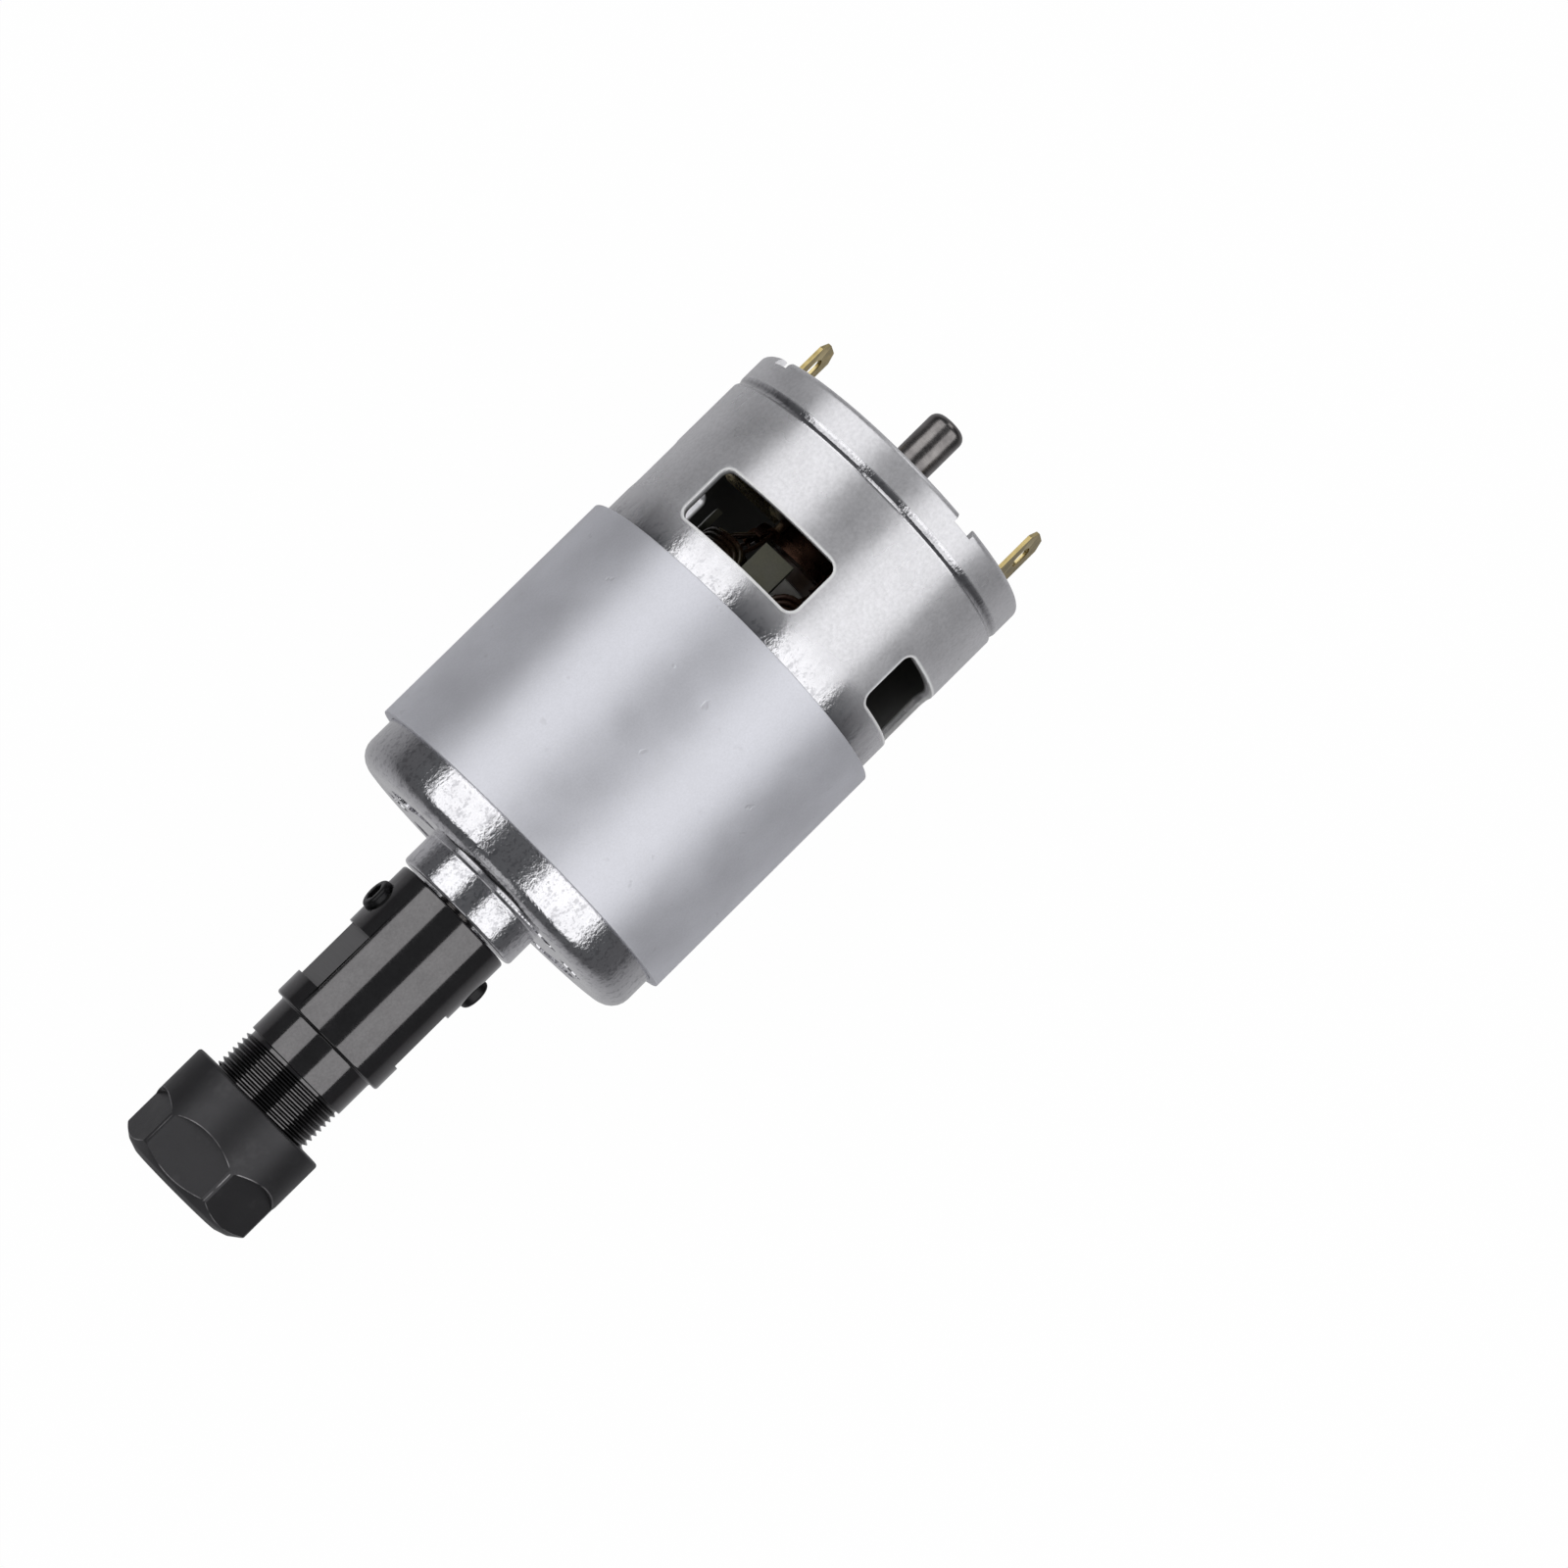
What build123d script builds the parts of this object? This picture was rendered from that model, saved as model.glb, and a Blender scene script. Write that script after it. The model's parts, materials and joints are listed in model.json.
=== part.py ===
from build123d import *
from math import cos, pi, radians, sin, tan
import os

# Motor spindle: a brushed DC motor with a clamp-on collet holder on its front shaft.
# Millimetres. X runs along the spindle axis from the motor's front face (X = 0) to the rear.
# The collet end points to -X. Angles are counted from +Y towards +Z in the YZ plane.

# Motor can
can_radius = 21.0
can_wall = 1.3
can_length = 66.7
can_bend = 2.6
boss_wall = 1.48
boss_length = 4.45
boss_lip = 1.0
boss_lip_hole = 5.2
boss_chamfer = 0.4
rim_length = 3.4
rim_step = 0.12
rim_wall = 0.65
rim_chamfer = 0.5
rim_lip = 0.5
crimp_notch_width = 3.0
crimp_notch_depth = 1.1

# Cooling windows in the can, four round the axis
window_angle = 70.5
window_count = 4
window_length = 7.7
window_back = 14.5
window_width = 17.9
window_corner = 1.3

# Front mounting face
bolt_circle = 29.0
bolt_hole_radius = 1.65
bolt_count = 2
vent_circle = 13.6
vent_width = 3.4
vent_span = 34.0

# Flux ring round the can
flux_start = 5.95
flux_window_gap = 4.15
flux_wall = 1.22
flux_seam = 0.5
flux_chamfer = 0.15
flux_seam_angle = 240.0

# Magnets and the spring clips between them
magnet_overhang = 2.0
magnet_thickness = 5.4
magnet_span = 132.0
clip_thickness = 0.5
clip_leg = 3.2
clip_setback = 4.0

# Shaft
shaft_radius = 2.5
shaft_rear_length = 8.85
shaft_front_gap = 0.65
shaft_dome = 1.2
shaft_groove_gap = 0.3
shaft_groove_width = 0.6
shaft_groove_depth = 0.2
shaft_chamfer = 0.4

# Bearings
bearing_radius = 7.0
bearing_width = 5.0
bearing_inner_wall = 1.1
shield_gap = 0.25

# Rear cover
cover_thickness = 1.8
cover_boss_wall = 1.2
cover_boss_lip = 0.5
cover_boss_height = 1.2
cover_vent_radius = 1.6
cover_vent_inset = 6.7

# Brush card, brushes and terminals
card_thickness = 2.4
card_edge_gap = 0.3
terminal_inset = 2.5
terminal_width = 4.8
terminal_thickness = 0.5
terminal_reach = 7.2
terminal_foot_length = 3.0
terminal_tip = 1.2
terminal_eye_length = 2.8
terminal_eye_width = 1.8
terminal_eye_back = 3.3
grommet_length = 6.2
grommet_width = 2.4
grommet_height = 0.4
brush_box_gap = 1.35
brush_box_clearance = 1.5
brush_box_wall = 0.5
brush_length = 5.4
brush_width_axial = 4.9
brush_width_around = 4.6
spring_radius = 1.7
spring_wall = 0.5

# Armature
slot_count = 5
slot_angle = 74.0
winding_gap_front = 2.05
winding_gap_rear = 2.9
air_gap = 0.55
tooth_width = 5.2
tooth_tip = 1.5
slot_opening = 2.2
slot_root = 5.6
winding_head_front = 6.4
winding_head_rear = 8.4
winding_head_bore = 6.4
winding_head_chamfer = 1.6
liner_width = 4.4
liner_thickness = 0.8
liner_overhang = 1.4

# Commutator
commutator_radius = 6.0
commutator_wall = 1.6
commutator_gap = 0.2
commutator_length = 7.7
riser_height = 1.3
riser_width = 1.2
commutator_slit = 0.5
hub_front = 3.0

# Collet holder
holder_gap = 0.6
holder_radius = 8.0
holder_length = 20.25
holder_chamfer = 0.4
holder_shoulder = 1.0
neck_length = 4.9
thread_length = 13.2
thread_pitch = 0.75
flats_across = 13.0
flats_start = 8.6
flats_length = 8.15
flats_angle = 16.0
screw_place = 4.45
screw_radius = 2.0
screw_proud = 0.95
screw_dome = 0.5
hex_key = 2.0
hex_depth = 2.0
shaft_bore_depth = 15.6
socket_half_angle = 8.0
socket_wall = 1.0
socket_depth = 13.4
relief_radius = 3.3
relief_depth = 3.0

# Collet
collet_length = 18.0
collet_bore = 1.5875
collet_proud = 5.2
collet_cone_drop = 1.0
collet_rim_step = 0.05
collet_rim_length = 0.5
collet_groove_depth = 1.0
collet_groove_length = 1.6
collet_slots = 4
collet_slot_width = 0.4
collet_slot_stop = 3.0
nut_cone_angle = 30.0

# Clamp nut
nut_length = 13.75
nut_wall = 2.45
nut_cover = 1.15
nut_flat_depth = 1.0
nut_flat_length = 6.3
nut_corner_angle = 108.0
nut_thread_length = 7.6
nut_lip_gap = 0.2
nut_lip_width = 0.6
nut_nose_drop = 2.2
nut_crown = 0.8
nut_crown_drop = 2.6
nut_back_chamfer = 0.5

# Fits
press_gap = 0.02
seat_gap = 0.03
running_gap = 0.05
thread_gap = 0.05
taper_gap = 0.03

os.makedirs("parts", exist_ok=True)


# Sketch plane through the axis, with local x along the spindle and local y pointing out at an angle
def axial_plane(angle):
    turn = radians(angle)
    return Plane(origin=(0, 0, 0), x_dir=(1, 0, 0), z_dir=(0, -sin(turn), cos(turn)))


# Plane that faces outwards at an angle, set at a distance from the axis, local x along the spindle
def facing_plane(angle, distance):
    turn = radians(angle)
    centre = (0, distance * cos(turn), distance * sin(turn))
    return Plane(origin=centre, x_dir=(1, 0, 0), z_dir=(0, cos(turn), sin(turn)))


# Plane of the half sections that are turned about the axis
section = Plane.XY

# Places that follow from the sizes
can_inner = can_radius - can_wall
rim_start = can_length - rim_length
rim_radius = can_radius - rim_step
rim_inner = rim_radius - rim_wall
rim_mouth = rim_inner - rim_lip
window_start = can_length - window_back - window_length
boss_front = -boss_length
bearing_pocket = bearing_radius + press_gap
boss_radius = bearing_pocket + boss_wall
front_bearing_start = boss_front + boss_lip
front_bearing_end = front_bearing_start + bearing_width
cover_start = rim_start
cover_end = cover_start + cover_thickness
cover_boss_end = can_length + cover_boss_height
rear_bearing_end = cover_boss_end - cover_boss_lip
rear_bearing_start = rear_bearing_end - bearing_width
card_start = cover_start - card_thickness
foot_start = card_start - terminal_thickness
commutator_end = foot_start - commutator_gap
commutator_start = commutator_end - commutator_length
riser_start = commutator_start - riser_width
brush_angle = window_angle + 90
clip_outer = can_inner - seat_gap
magnet_outer = can_inner - seat_gap
terminal_circle = can_inner - terminal_inset
cover_vent_circle = can_inner - cover_vent_inset
magnet_inner = magnet_outer - magnet_thickness
core_radius = magnet_inner - air_gap
core_start = front_bearing_end + winding_gap_front + winding_head_front
core_end = riser_start - winding_gap_rear - winding_head_rear
core_length = core_end - core_start
magnet_start = core_start - magnet_overhang
magnet_length = core_length + 2 * magnet_overhang
shaft_bore = shaft_radius + press_gap
holder_back = boss_front - holder_gap
bore_front = holder_back - shaft_bore_depth
shaft_start = bore_front + shaft_front_gap
shaft_end = cover_boss_end + shaft_rear_length

# Motor can: deep-drawn cup with its bearing boss, turned from one half section
with BuildPart() as motor_can:
    with BuildSketch(section):
        with BuildLine():
            Polyline(
                (boss_front, boss_lip_hole),
                (boss_front, boss_radius - boss_chamfer),
                (boss_front + boss_chamfer, boss_radius),
                (-boss_chamfer, boss_radius),
                (0, boss_radius + boss_chamfer),
                (0, can_radius - can_bend),
            )
            RadiusArc((0, can_radius - can_bend), (can_bend, can_radius), can_bend)
            Polyline(
                (can_bend, can_radius),
                (rim_start, can_radius),
                (rim_start + rim_step, rim_radius),
                (can_length - rim_chamfer, rim_radius),
                (can_length, rim_radius - rim_chamfer),
                (can_length, rim_mouth),
                (cover_end + press_gap + rim_lip, rim_mouth),
                (cover_end + press_gap, rim_inner),
                (cover_start, rim_inner),
                (cover_start, can_inner),
                (can_bend, can_inner),
                (can_wall, can_inner - can_bend + can_wall),
                (can_wall, bearing_pocket),
                (front_bearing_start, bearing_pocket),
                (front_bearing_start, boss_lip_hole),
                (boss_front, boss_lip_hole),
            )
        make_face()
    revolve(axis=Axis.X)

    # Four cooling windows
    for copy in range(window_count):
        angle = window_angle + copy * 360 / window_count
        with BuildSketch(facing_plane(angle, can_inner / 2)):
            with Locations((window_start + window_length / 2, 0)):
                RectangleRounded(window_length, window_width, window_corner)
        extrude(amount=can_radius, mode=Mode.SUBTRACT)

    # Four crimp notches in the rim, midway between the windows
    for copy in range(window_count):
        angle = window_angle + 180 / window_count + copy * 360 / window_count
        with BuildSketch(facing_plane(angle, can_inner / 2)):
            with Locations((can_length, 0)):
                Rectangle(2 * crimp_notch_depth, crimp_notch_width)
        extrude(amount=can_radius, mode=Mode.SUBTRACT)

    # Tapped mounting holes and kidney vents through the front face
    with BuildSketch(Plane.YZ):
        with PolarLocations(bolt_circle / 2, bolt_count, start_angle=brush_angle):
            Circle(bolt_hole_radius)
        for copy in range(window_count):
            middle = window_angle + 180 / window_count + copy * 360 / window_count
            vent_arc = CenterArc((0, 0), vent_circle, middle - vent_span / 2, vent_span, mode=Mode.PRIVATE)
            SlotArc(vent_arc, vent_width)
    extrude(amount=can_wall + can_bend, mode=Mode.SUBTRACT)
motor_can.part.label = "motor_can"
export_step(motor_can.part, "parts/motor_can.step")

# Flux ring: a strip rolled round the can, with an open butt seam
flux_inner = can_radius + seat_gap
flux_length = window_start - flux_window_gap - flux_start
flux_radius = flux_inner + flux_wall
with BuildPart() as flux_ring:
    with BuildSketch(Plane.YZ.offset(flux_start)):
        Circle(flux_radius)
        Circle(flux_inner, mode=Mode.SUBTRACT)
    extrude(amount=flux_length)
    outer_rims = flux_ring.edges().filter_by(GeomType.CIRCLE).group_by(SortBy.RADIUS)[-1]
    chamfer(outer_rims, length=flux_chamfer)
    with BuildSketch(facing_plane(flux_seam_angle, can_inner)):
        with Locations((flux_start + flux_length / 2, 0)):
            Rectangle(2 * flux_length, flux_seam)
    extrude(amount=can_radius, mode=Mode.SUBTRACT)
flux_ring.part.label = "flux_ring"
export_step(flux_ring.part, "parts/flux_ring.step")

# Two arc magnets, centred on the windows' line
for name, angle in (("magnet_a", window_angle), ("magnet_b", window_angle + 180)):
    with BuildPart() as magnet:
        with BuildSketch(Plane.YZ.offset(magnet_start)):
            with BuildLine():
                low = angle - magnet_span / 2
                high = angle + magnet_span / 2
                outer_arc = CenterArc((0, 0), magnet_outer, low, magnet_span)
                inner_arc = CenterArc((0, 0), magnet_inner, low, magnet_span)
                Line(outer_arc @ 0, inner_arc @ 0)
                Line(outer_arc @ 1, inner_arc @ 1)
            make_face()
        extrude(amount=magnet_length)
    magnet.part.label = name
    export_step(magnet.part, f"parts/{name}.step")

# Spring clips that push the magnets apart, one in each gap between them
clip_span = 180 - magnet_span
clip_gap_angle = seat_gap / can_inner * 180 / pi
with BuildPart() as magnet_clips:
    for copy in range(2):
        angle = brush_angle + copy * 180
        low = angle - clip_span / 2 + clip_gap_angle
        high = angle + clip_span / 2 - clip_gap_angle
        leg_turn = clip_thickness / clip_outer * 180 / pi
        with BuildSketch(Plane.YZ.offset(magnet_start + clip_setback)):
            with BuildLine():
                outside = CenterArc((0, 0), clip_outer, low, high - low)
                inside = CenterArc((0, 0), clip_outer - clip_thickness, low, high - low)
                Line(outside @ 0, inside @ 0)
                Line(outside @ 1, inside @ 1)
            make_face()
            for edge_angle in (low, high - leg_turn):
                with BuildLine():
                    leg_out = CenterArc((0, 0), clip_outer, edge_angle, leg_turn)
                    leg_in = CenterArc((0, 0), clip_outer - clip_leg, edge_angle, leg_turn)
                    Line(leg_out @ 0, leg_in @ 0)
                    Line(leg_out @ 1, leg_in @ 1)
                make_face()
        extrude(amount=magnet_length - 2 * clip_setback)
magnet_clips.part.label = "magnet_clips"
export_step(magnet_clips.part, "parts/magnet_clips.step")

# Shielded ball bearings, the same size at both ends: outer ring closed by its shields, and inner ring
race_inner = shaft_bore + bearing_inner_wall
shield_inner = race_inner + shield_gap
for end, start in (("front", front_bearing_start), ("rear", rear_bearing_start)):
    with BuildPart() as outer_ring:
        with BuildSketch(Plane.YZ.offset(start)):
            Circle(bearing_radius)
            Circle(shield_inner, mode=Mode.SUBTRACT)
        extrude(amount=bearing_width)
    outer_ring.part.label = f"{end}_bearing_outer"
    export_step(outer_ring.part, f"parts/{end}_bearing_outer.step")

    with BuildPart() as inner_ring:
        with BuildSketch(Plane.YZ.offset(start)):
            Circle(race_inner)
            Circle(shaft_bore, mode=Mode.SUBTRACT)
        extrude(amount=bearing_width)
    inner_ring.part.label = f"{end}_bearing_inner"
    export_step(inner_ring.part, f"parts/{end}_bearing_inner.step")

# Rear cover: stamped plate seated on the can's step, with the rear bearing's boss
cover_radius = rim_inner - press_gap
cover_boss = bearing_pocket + cover_boss_wall
with BuildPart() as rear_cover:
    with BuildSketch(section):
        with BuildLine():
            Polyline(
                (cover_start, cover_radius),
                (cover_end, cover_radius),
                (cover_end, cover_boss + boss_chamfer),
                (cover_end + boss_chamfer, cover_boss),
                (cover_boss_end - boss_chamfer, cover_boss),
                (cover_boss_end, cover_boss - boss_chamfer),
                (cover_boss_end, boss_lip_hole),
                (rear_bearing_end, boss_lip_hole),
                (rear_bearing_end, bearing_pocket),
                (cover_start, bearing_pocket),
                (cover_start, cover_radius),
            )
        make_face()
    revolve(axis=Axis.X)

    # Openings for the two terminal grommets, and round vents between them
    with BuildSketch(Plane.YZ.offset(cover_start)):
        with PolarLocations(terminal_circle, 2, start_angle=brush_angle):
            Rectangle(grommet_width + 2 * seat_gap, grommet_length + 2 * seat_gap)
        with PolarLocations(cover_vent_circle, window_count, start_angle=window_angle + 45):
            Circle(cover_vent_radius)
    extrude(amount=cover_thickness, mode=Mode.SUBTRACT)
rear_cover.part.label = "rear_cover"
export_step(rear_cover.part, "parts/rear_cover.step")

# Brush card: insulating plate behind the cover, with a grommet round each terminal
with BuildPart() as brush_card:
    with BuildSketch(Plane.YZ.offset(card_start)):
        Circle(can_inner - card_edge_gap)
        Circle(cover_boss + card_edge_gap, mode=Mode.SUBTRACT)
    extrude(amount=card_thickness)
    with BuildSketch(Plane.YZ.offset(card_start)):
        with PolarLocations(terminal_circle, 2, start_angle=brush_angle):
            Rectangle(grommet_width, grommet_length)
    extrude(amount=card_thickness + cover_thickness + grommet_height)
    with BuildSketch(Plane.YZ.offset(card_start)):
        with PolarLocations(terminal_circle, 2, start_angle=brush_angle):
            Rectangle(terminal_thickness + 2 * press_gap, terminal_width + 2 * press_gap)
    extrude(amount=card_thickness + cover_thickness + grommet_height, mode=Mode.SUBTRACT)
brush_card.part.label = "brush_card"
export_step(brush_card.part, "parts/brush_card.step")

# Brush boxes, brushes, springs and terminals, one set on each side
box_depth = brush_width_axial + 2 * brush_box_wall + 2 * running_gap
box_width = brush_width_around + 2 * brush_box_wall + 2 * running_gap
box_middle = foot_start - box_depth / 2
brush_box_start = commutator_radius + brush_box_clearance
brush_box_reach = terminal_circle - terminal_thickness / 2 - brush_box_gap
brush_tip = commutator_radius + running_gap
spring_start = brush_tip + brush_length
spring_end = brush_box_reach - brush_box_wall
terminal_foot = brush_box_reach - terminal_foot_length
terminal_end = can_length + terminal_reach
for side, angle in (("a", brush_angle), ("b", brush_angle + 180)):
    with BuildPart() as brush_box:
        with BuildSketch(facing_plane(angle, brush_box_start)):
            with Locations((box_middle, 0)):
                Rectangle(box_depth, box_width)
        extrude(amount=brush_box_reach - brush_box_start)
        with BuildSketch(facing_plane(angle, brush_box_start)):
            with Locations((box_middle, 0)):
                Rectangle(box_depth - 2 * brush_box_wall, box_width - 2 * brush_box_wall)
        extrude(amount=spring_end - brush_box_start, mode=Mode.SUBTRACT)
    brush_box.part.label = f"brush_box_{side}"
    export_step(brush_box.part, f"parts/brush_box_{side}.step")

    # The brush's working face is hollowed to the commutator's curve
    with BuildPart() as brush:
        with BuildSketch(facing_plane(angle, commutator_radius / 2)):
            with Locations((box_middle, 0)):
                Rectangle(brush_width_axial, brush_width_around)
        extrude(amount=spring_start - commutator_radius / 2)
        with BuildSketch(Plane.YZ.offset(box_middle - brush_width_axial)):
            Circle(brush_tip)
        extrude(amount=2 * brush_width_axial, mode=Mode.SUBTRACT)
    brush.part.label = f"brush_{side}"
    export_step(brush.part, f"parts/brush_{side}.step")

    with BuildPart() as brush_spring:
        with BuildSketch(facing_plane(angle, spring_start)):
            with Locations((box_middle, 0)):
                Circle(spring_radius)
                Circle(spring_radius - spring_wall, mode=Mode.SUBTRACT)
        extrude(amount=spring_end - spring_start)
    brush_spring.part.label = f"brush_spring_{side}"
    export_step(brush_spring.part, f"parts/brush_spring_{side}.step")

    # Terminal: a tab through the card, with an eye, clipped corners and a foot under the brush box
    with BuildPart() as terminal:
        with BuildSketch(facing_plane(angle, terminal_circle - terminal_thickness / 2)):
            with Locations(((foot_start + terminal_end) / 2, 0)):
                tab = Rectangle(terminal_end - foot_start, terminal_width)
            chamfer(tab.vertices().group_by(Axis.X)[-1], length=terminal_tip)
            with Locations((terminal_end - terminal_eye_back, 0)):
                SlotOverall(terminal_eye_length, terminal_eye_width, mode=Mode.SUBTRACT)
        extrude(amount=terminal_thickness)
        with BuildSketch(facing_plane(angle, terminal_foot)):
            with Locations((foot_start + terminal_thickness / 2, 0)):
                Rectangle(terminal_thickness, terminal_width)
        extrude(amount=terminal_circle + terminal_thickness / 2 - terminal_foot)
    terminal.part.label = f"terminal_{side}"
    export_step(terminal.part, f"parts/terminal_{side}.step")

# Motor shaft: chamfered front end in the holder, rounded rear end behind a narrow undercut
shaft_groove_start = cover_boss_end + shaft_groove_gap
shaft_groove_end = shaft_groove_start + shaft_groove_width
shaft_groove_radius = shaft_radius - shaft_groove_depth
with BuildPart() as motor_shaft:
    with BuildSketch(section):
        with BuildLine():
            Polyline(
                (shaft_end, shaft_radius - shaft_dome),
                (shaft_end, 0),
                (shaft_start, 0),
                (shaft_start, shaft_radius - shaft_chamfer),
                (shaft_start + shaft_chamfer, shaft_radius),
                (shaft_groove_start, shaft_radius),
                (shaft_groove_start, shaft_groove_radius),
                (shaft_groove_end, shaft_groove_radius),
                (shaft_groove_end, shaft_radius),
                (shaft_end - shaft_dome, shaft_radius),
            )
            RadiusArc(
                (shaft_end - shaft_dome, shaft_radius),
                (shaft_end, shaft_radius - shaft_dome),
                shaft_dome,
            )
        make_face()
    revolve(axis=Axis.X)
motor_shaft.part.label = "motor_shaft"
export_step(motor_shaft.part, "parts/motor_shaft.step")

# Armature core: a laminated stack with five teeth and slots that narrow to an opening
slot_top = core_radius - tooth_tip
half_pitch = radians(180 / slot_count)
slot_top_half = slot_top * sin(half_pitch) - tooth_width / 2 * cos(half_pitch)
slot_root_half = slot_root * sin(half_pitch) - tooth_width / 2 * cos(half_pitch)
pocket_depth = slot_top - slot_root
with BuildPart() as armature_core:
    with BuildSketch(Plane.YZ.offset(core_start)):
        Circle(core_radius)
        Circle(shaft_bore, mode=Mode.SUBTRACT)
        with PolarLocations(slot_root, slot_count, start_angle=slot_angle):
            Polygon(
                (0, -slot_root_half),
                (pocket_depth, -slot_top_half),
                (pocket_depth, slot_top_half),
                (0, slot_root_half),
                align=None,
                mode=Mode.SUBTRACT,
            )
        with PolarLocations(core_radius, slot_count, start_angle=slot_angle):
            Rectangle(2 * tooth_tip + 1, slot_opening, mode=Mode.SUBTRACT)
    extrude(amount=core_length)
armature_core.part.label = "armature_core"
export_step(armature_core.part, "parts/armature_core.step")

# Windings: a bundle in each slot and a rounded head at each end of the core
liner_outer = slot_top - seat_gap
liner_inner = liner_outer - liner_thickness
bundle_top = liner_inner - seat_gap
winding_head_radius = slot_top
bundle_share = (bundle_top - slot_root) / pocket_depth
bundle_top_half = slot_root_half + (slot_top_half - slot_root_half) * bundle_share - seat_gap
bundle_root_half = slot_root_half - seat_gap
head_front_start = core_start - winding_head_front
head_rear_end = core_end + winding_head_rear
with BuildPart() as windings:
    with BuildSketch(Plane.YZ.offset(core_start)):
        with PolarLocations(slot_root + seat_gap, slot_count, start_angle=slot_angle):
            Polygon(
                (0, -bundle_root_half),
                (bundle_top - slot_root - seat_gap, -bundle_top_half),
                (bundle_top - slot_root - seat_gap, bundle_top_half),
                (0, bundle_root_half),
                align=None,
            )
    extrude(amount=core_length)
    for low, high in ((head_front_start, core_start), (core_end, head_rear_end)):
        with BuildSketch(section):
            with Locations(((low + high) / 2, (winding_head_bore + winding_head_radius) / 2)):
                head = Rectangle(high - low, winding_head_radius - winding_head_bore)
            outer_end = head.vertices().sort_by(lambda spot: abs(spot.X - core_start - core_length / 2))[2:]
            chamfer(outer_end.sort_by(Axis.Y)[-1], length=winding_head_chamfer)
        revolve(axis=Axis.X)
    # The heads are parted at each slot, where the liners stand
    with BuildSketch(Plane.YZ.offset(head_front_start)):
        with PolarLocations(winding_head_radius, slot_count, start_angle=slot_angle):
            Rectangle(2 * (winding_head_radius - bundle_top), liner_width + 4 * seat_gap)
    extrude(amount=head_rear_end - head_front_start, mode=Mode.SUBTRACT)
windings.part.label = "windings"
export_step(windings.part, "parts/windings.step")

# Slot liners: stiff strips that close the slots and stand out past the winding heads
with BuildPart() as slot_liners:
    liner_start = head_front_start
    with BuildSketch(Plane.YZ.offset(liner_start)):
        with PolarLocations((liner_inner + liner_outer) / 2, slot_count, start_angle=slot_angle):
            Rectangle(liner_thickness, liner_width)
    extrude(amount=head_rear_end + liner_overhang - liner_start)
slot_liners.part.label = "slot_liners"
export_step(slot_liners.part, "parts/slot_liners.step")

# Commutator: copper segments with hooked risers, moulded on a hub
segment_inner = commutator_radius - commutator_wall
riser_radius = commutator_radius + riser_height
with BuildPart() as commutator:
    with BuildSketch(Plane.YZ.offset(commutator_start)):
        Circle(commutator_radius)
        Circle(segment_inner, mode=Mode.SUBTRACT)
    extrude(amount=commutator_length)
    with BuildSketch(Plane.YZ.offset(riser_start)):
        Circle(riser_radius)
        Circle(segment_inner, mode=Mode.SUBTRACT)
    extrude(amount=riser_width)
    with BuildSketch(Plane.YZ.offset(riser_start)):
        with PolarLocations(riser_radius, slot_count, start_angle=slot_angle + 180 / slot_count):
            Rectangle(2 * (riser_radius - segment_inner) + 1, commutator_slit)
    extrude(amount=commutator_length + riser_width, mode=Mode.SUBTRACT)
commutator.part.label = "commutator"
export_step(commutator.part, "parts/commutator.step")

hub_start = commutator_start - hub_front
hub_end = rear_bearing_start
with BuildPart() as commutator_hub:
    with BuildSketch(Plane.YZ.offset(hub_start)):
        Circle(segment_inner - press_gap)
        Circle(shaft_bore, mode=Mode.SUBTRACT)
    extrude(amount=commutator_end - hub_start)
    with BuildSketch(Plane.YZ.offset(commutator_end)):
        Circle(race_inner)
        Circle(shaft_bore, mode=Mode.SUBTRACT)
    extrude(amount=hub_end - commutator_end)
commutator_hub.part.label = "commutator_hub"
export_step(commutator_hub.part, "parts/commutator_hub.step")

# Spacers that set the armature between the two bearings
spacer_radius = race_inner
with BuildPart() as shaft_spacers:
    for low, high in ((front_bearing_end, core_start), (core_end, hub_start)):
        with BuildSketch(Plane.YZ.offset(low)):
            Circle(spacer_radius)
            Circle(shaft_bore, mode=Mode.SUBTRACT)
        extrude(amount=high - low)
shaft_spacers.part.label = "shaft_spacers"
export_step(shaft_spacers.part, "parts/shaft_spacers.step")

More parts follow.
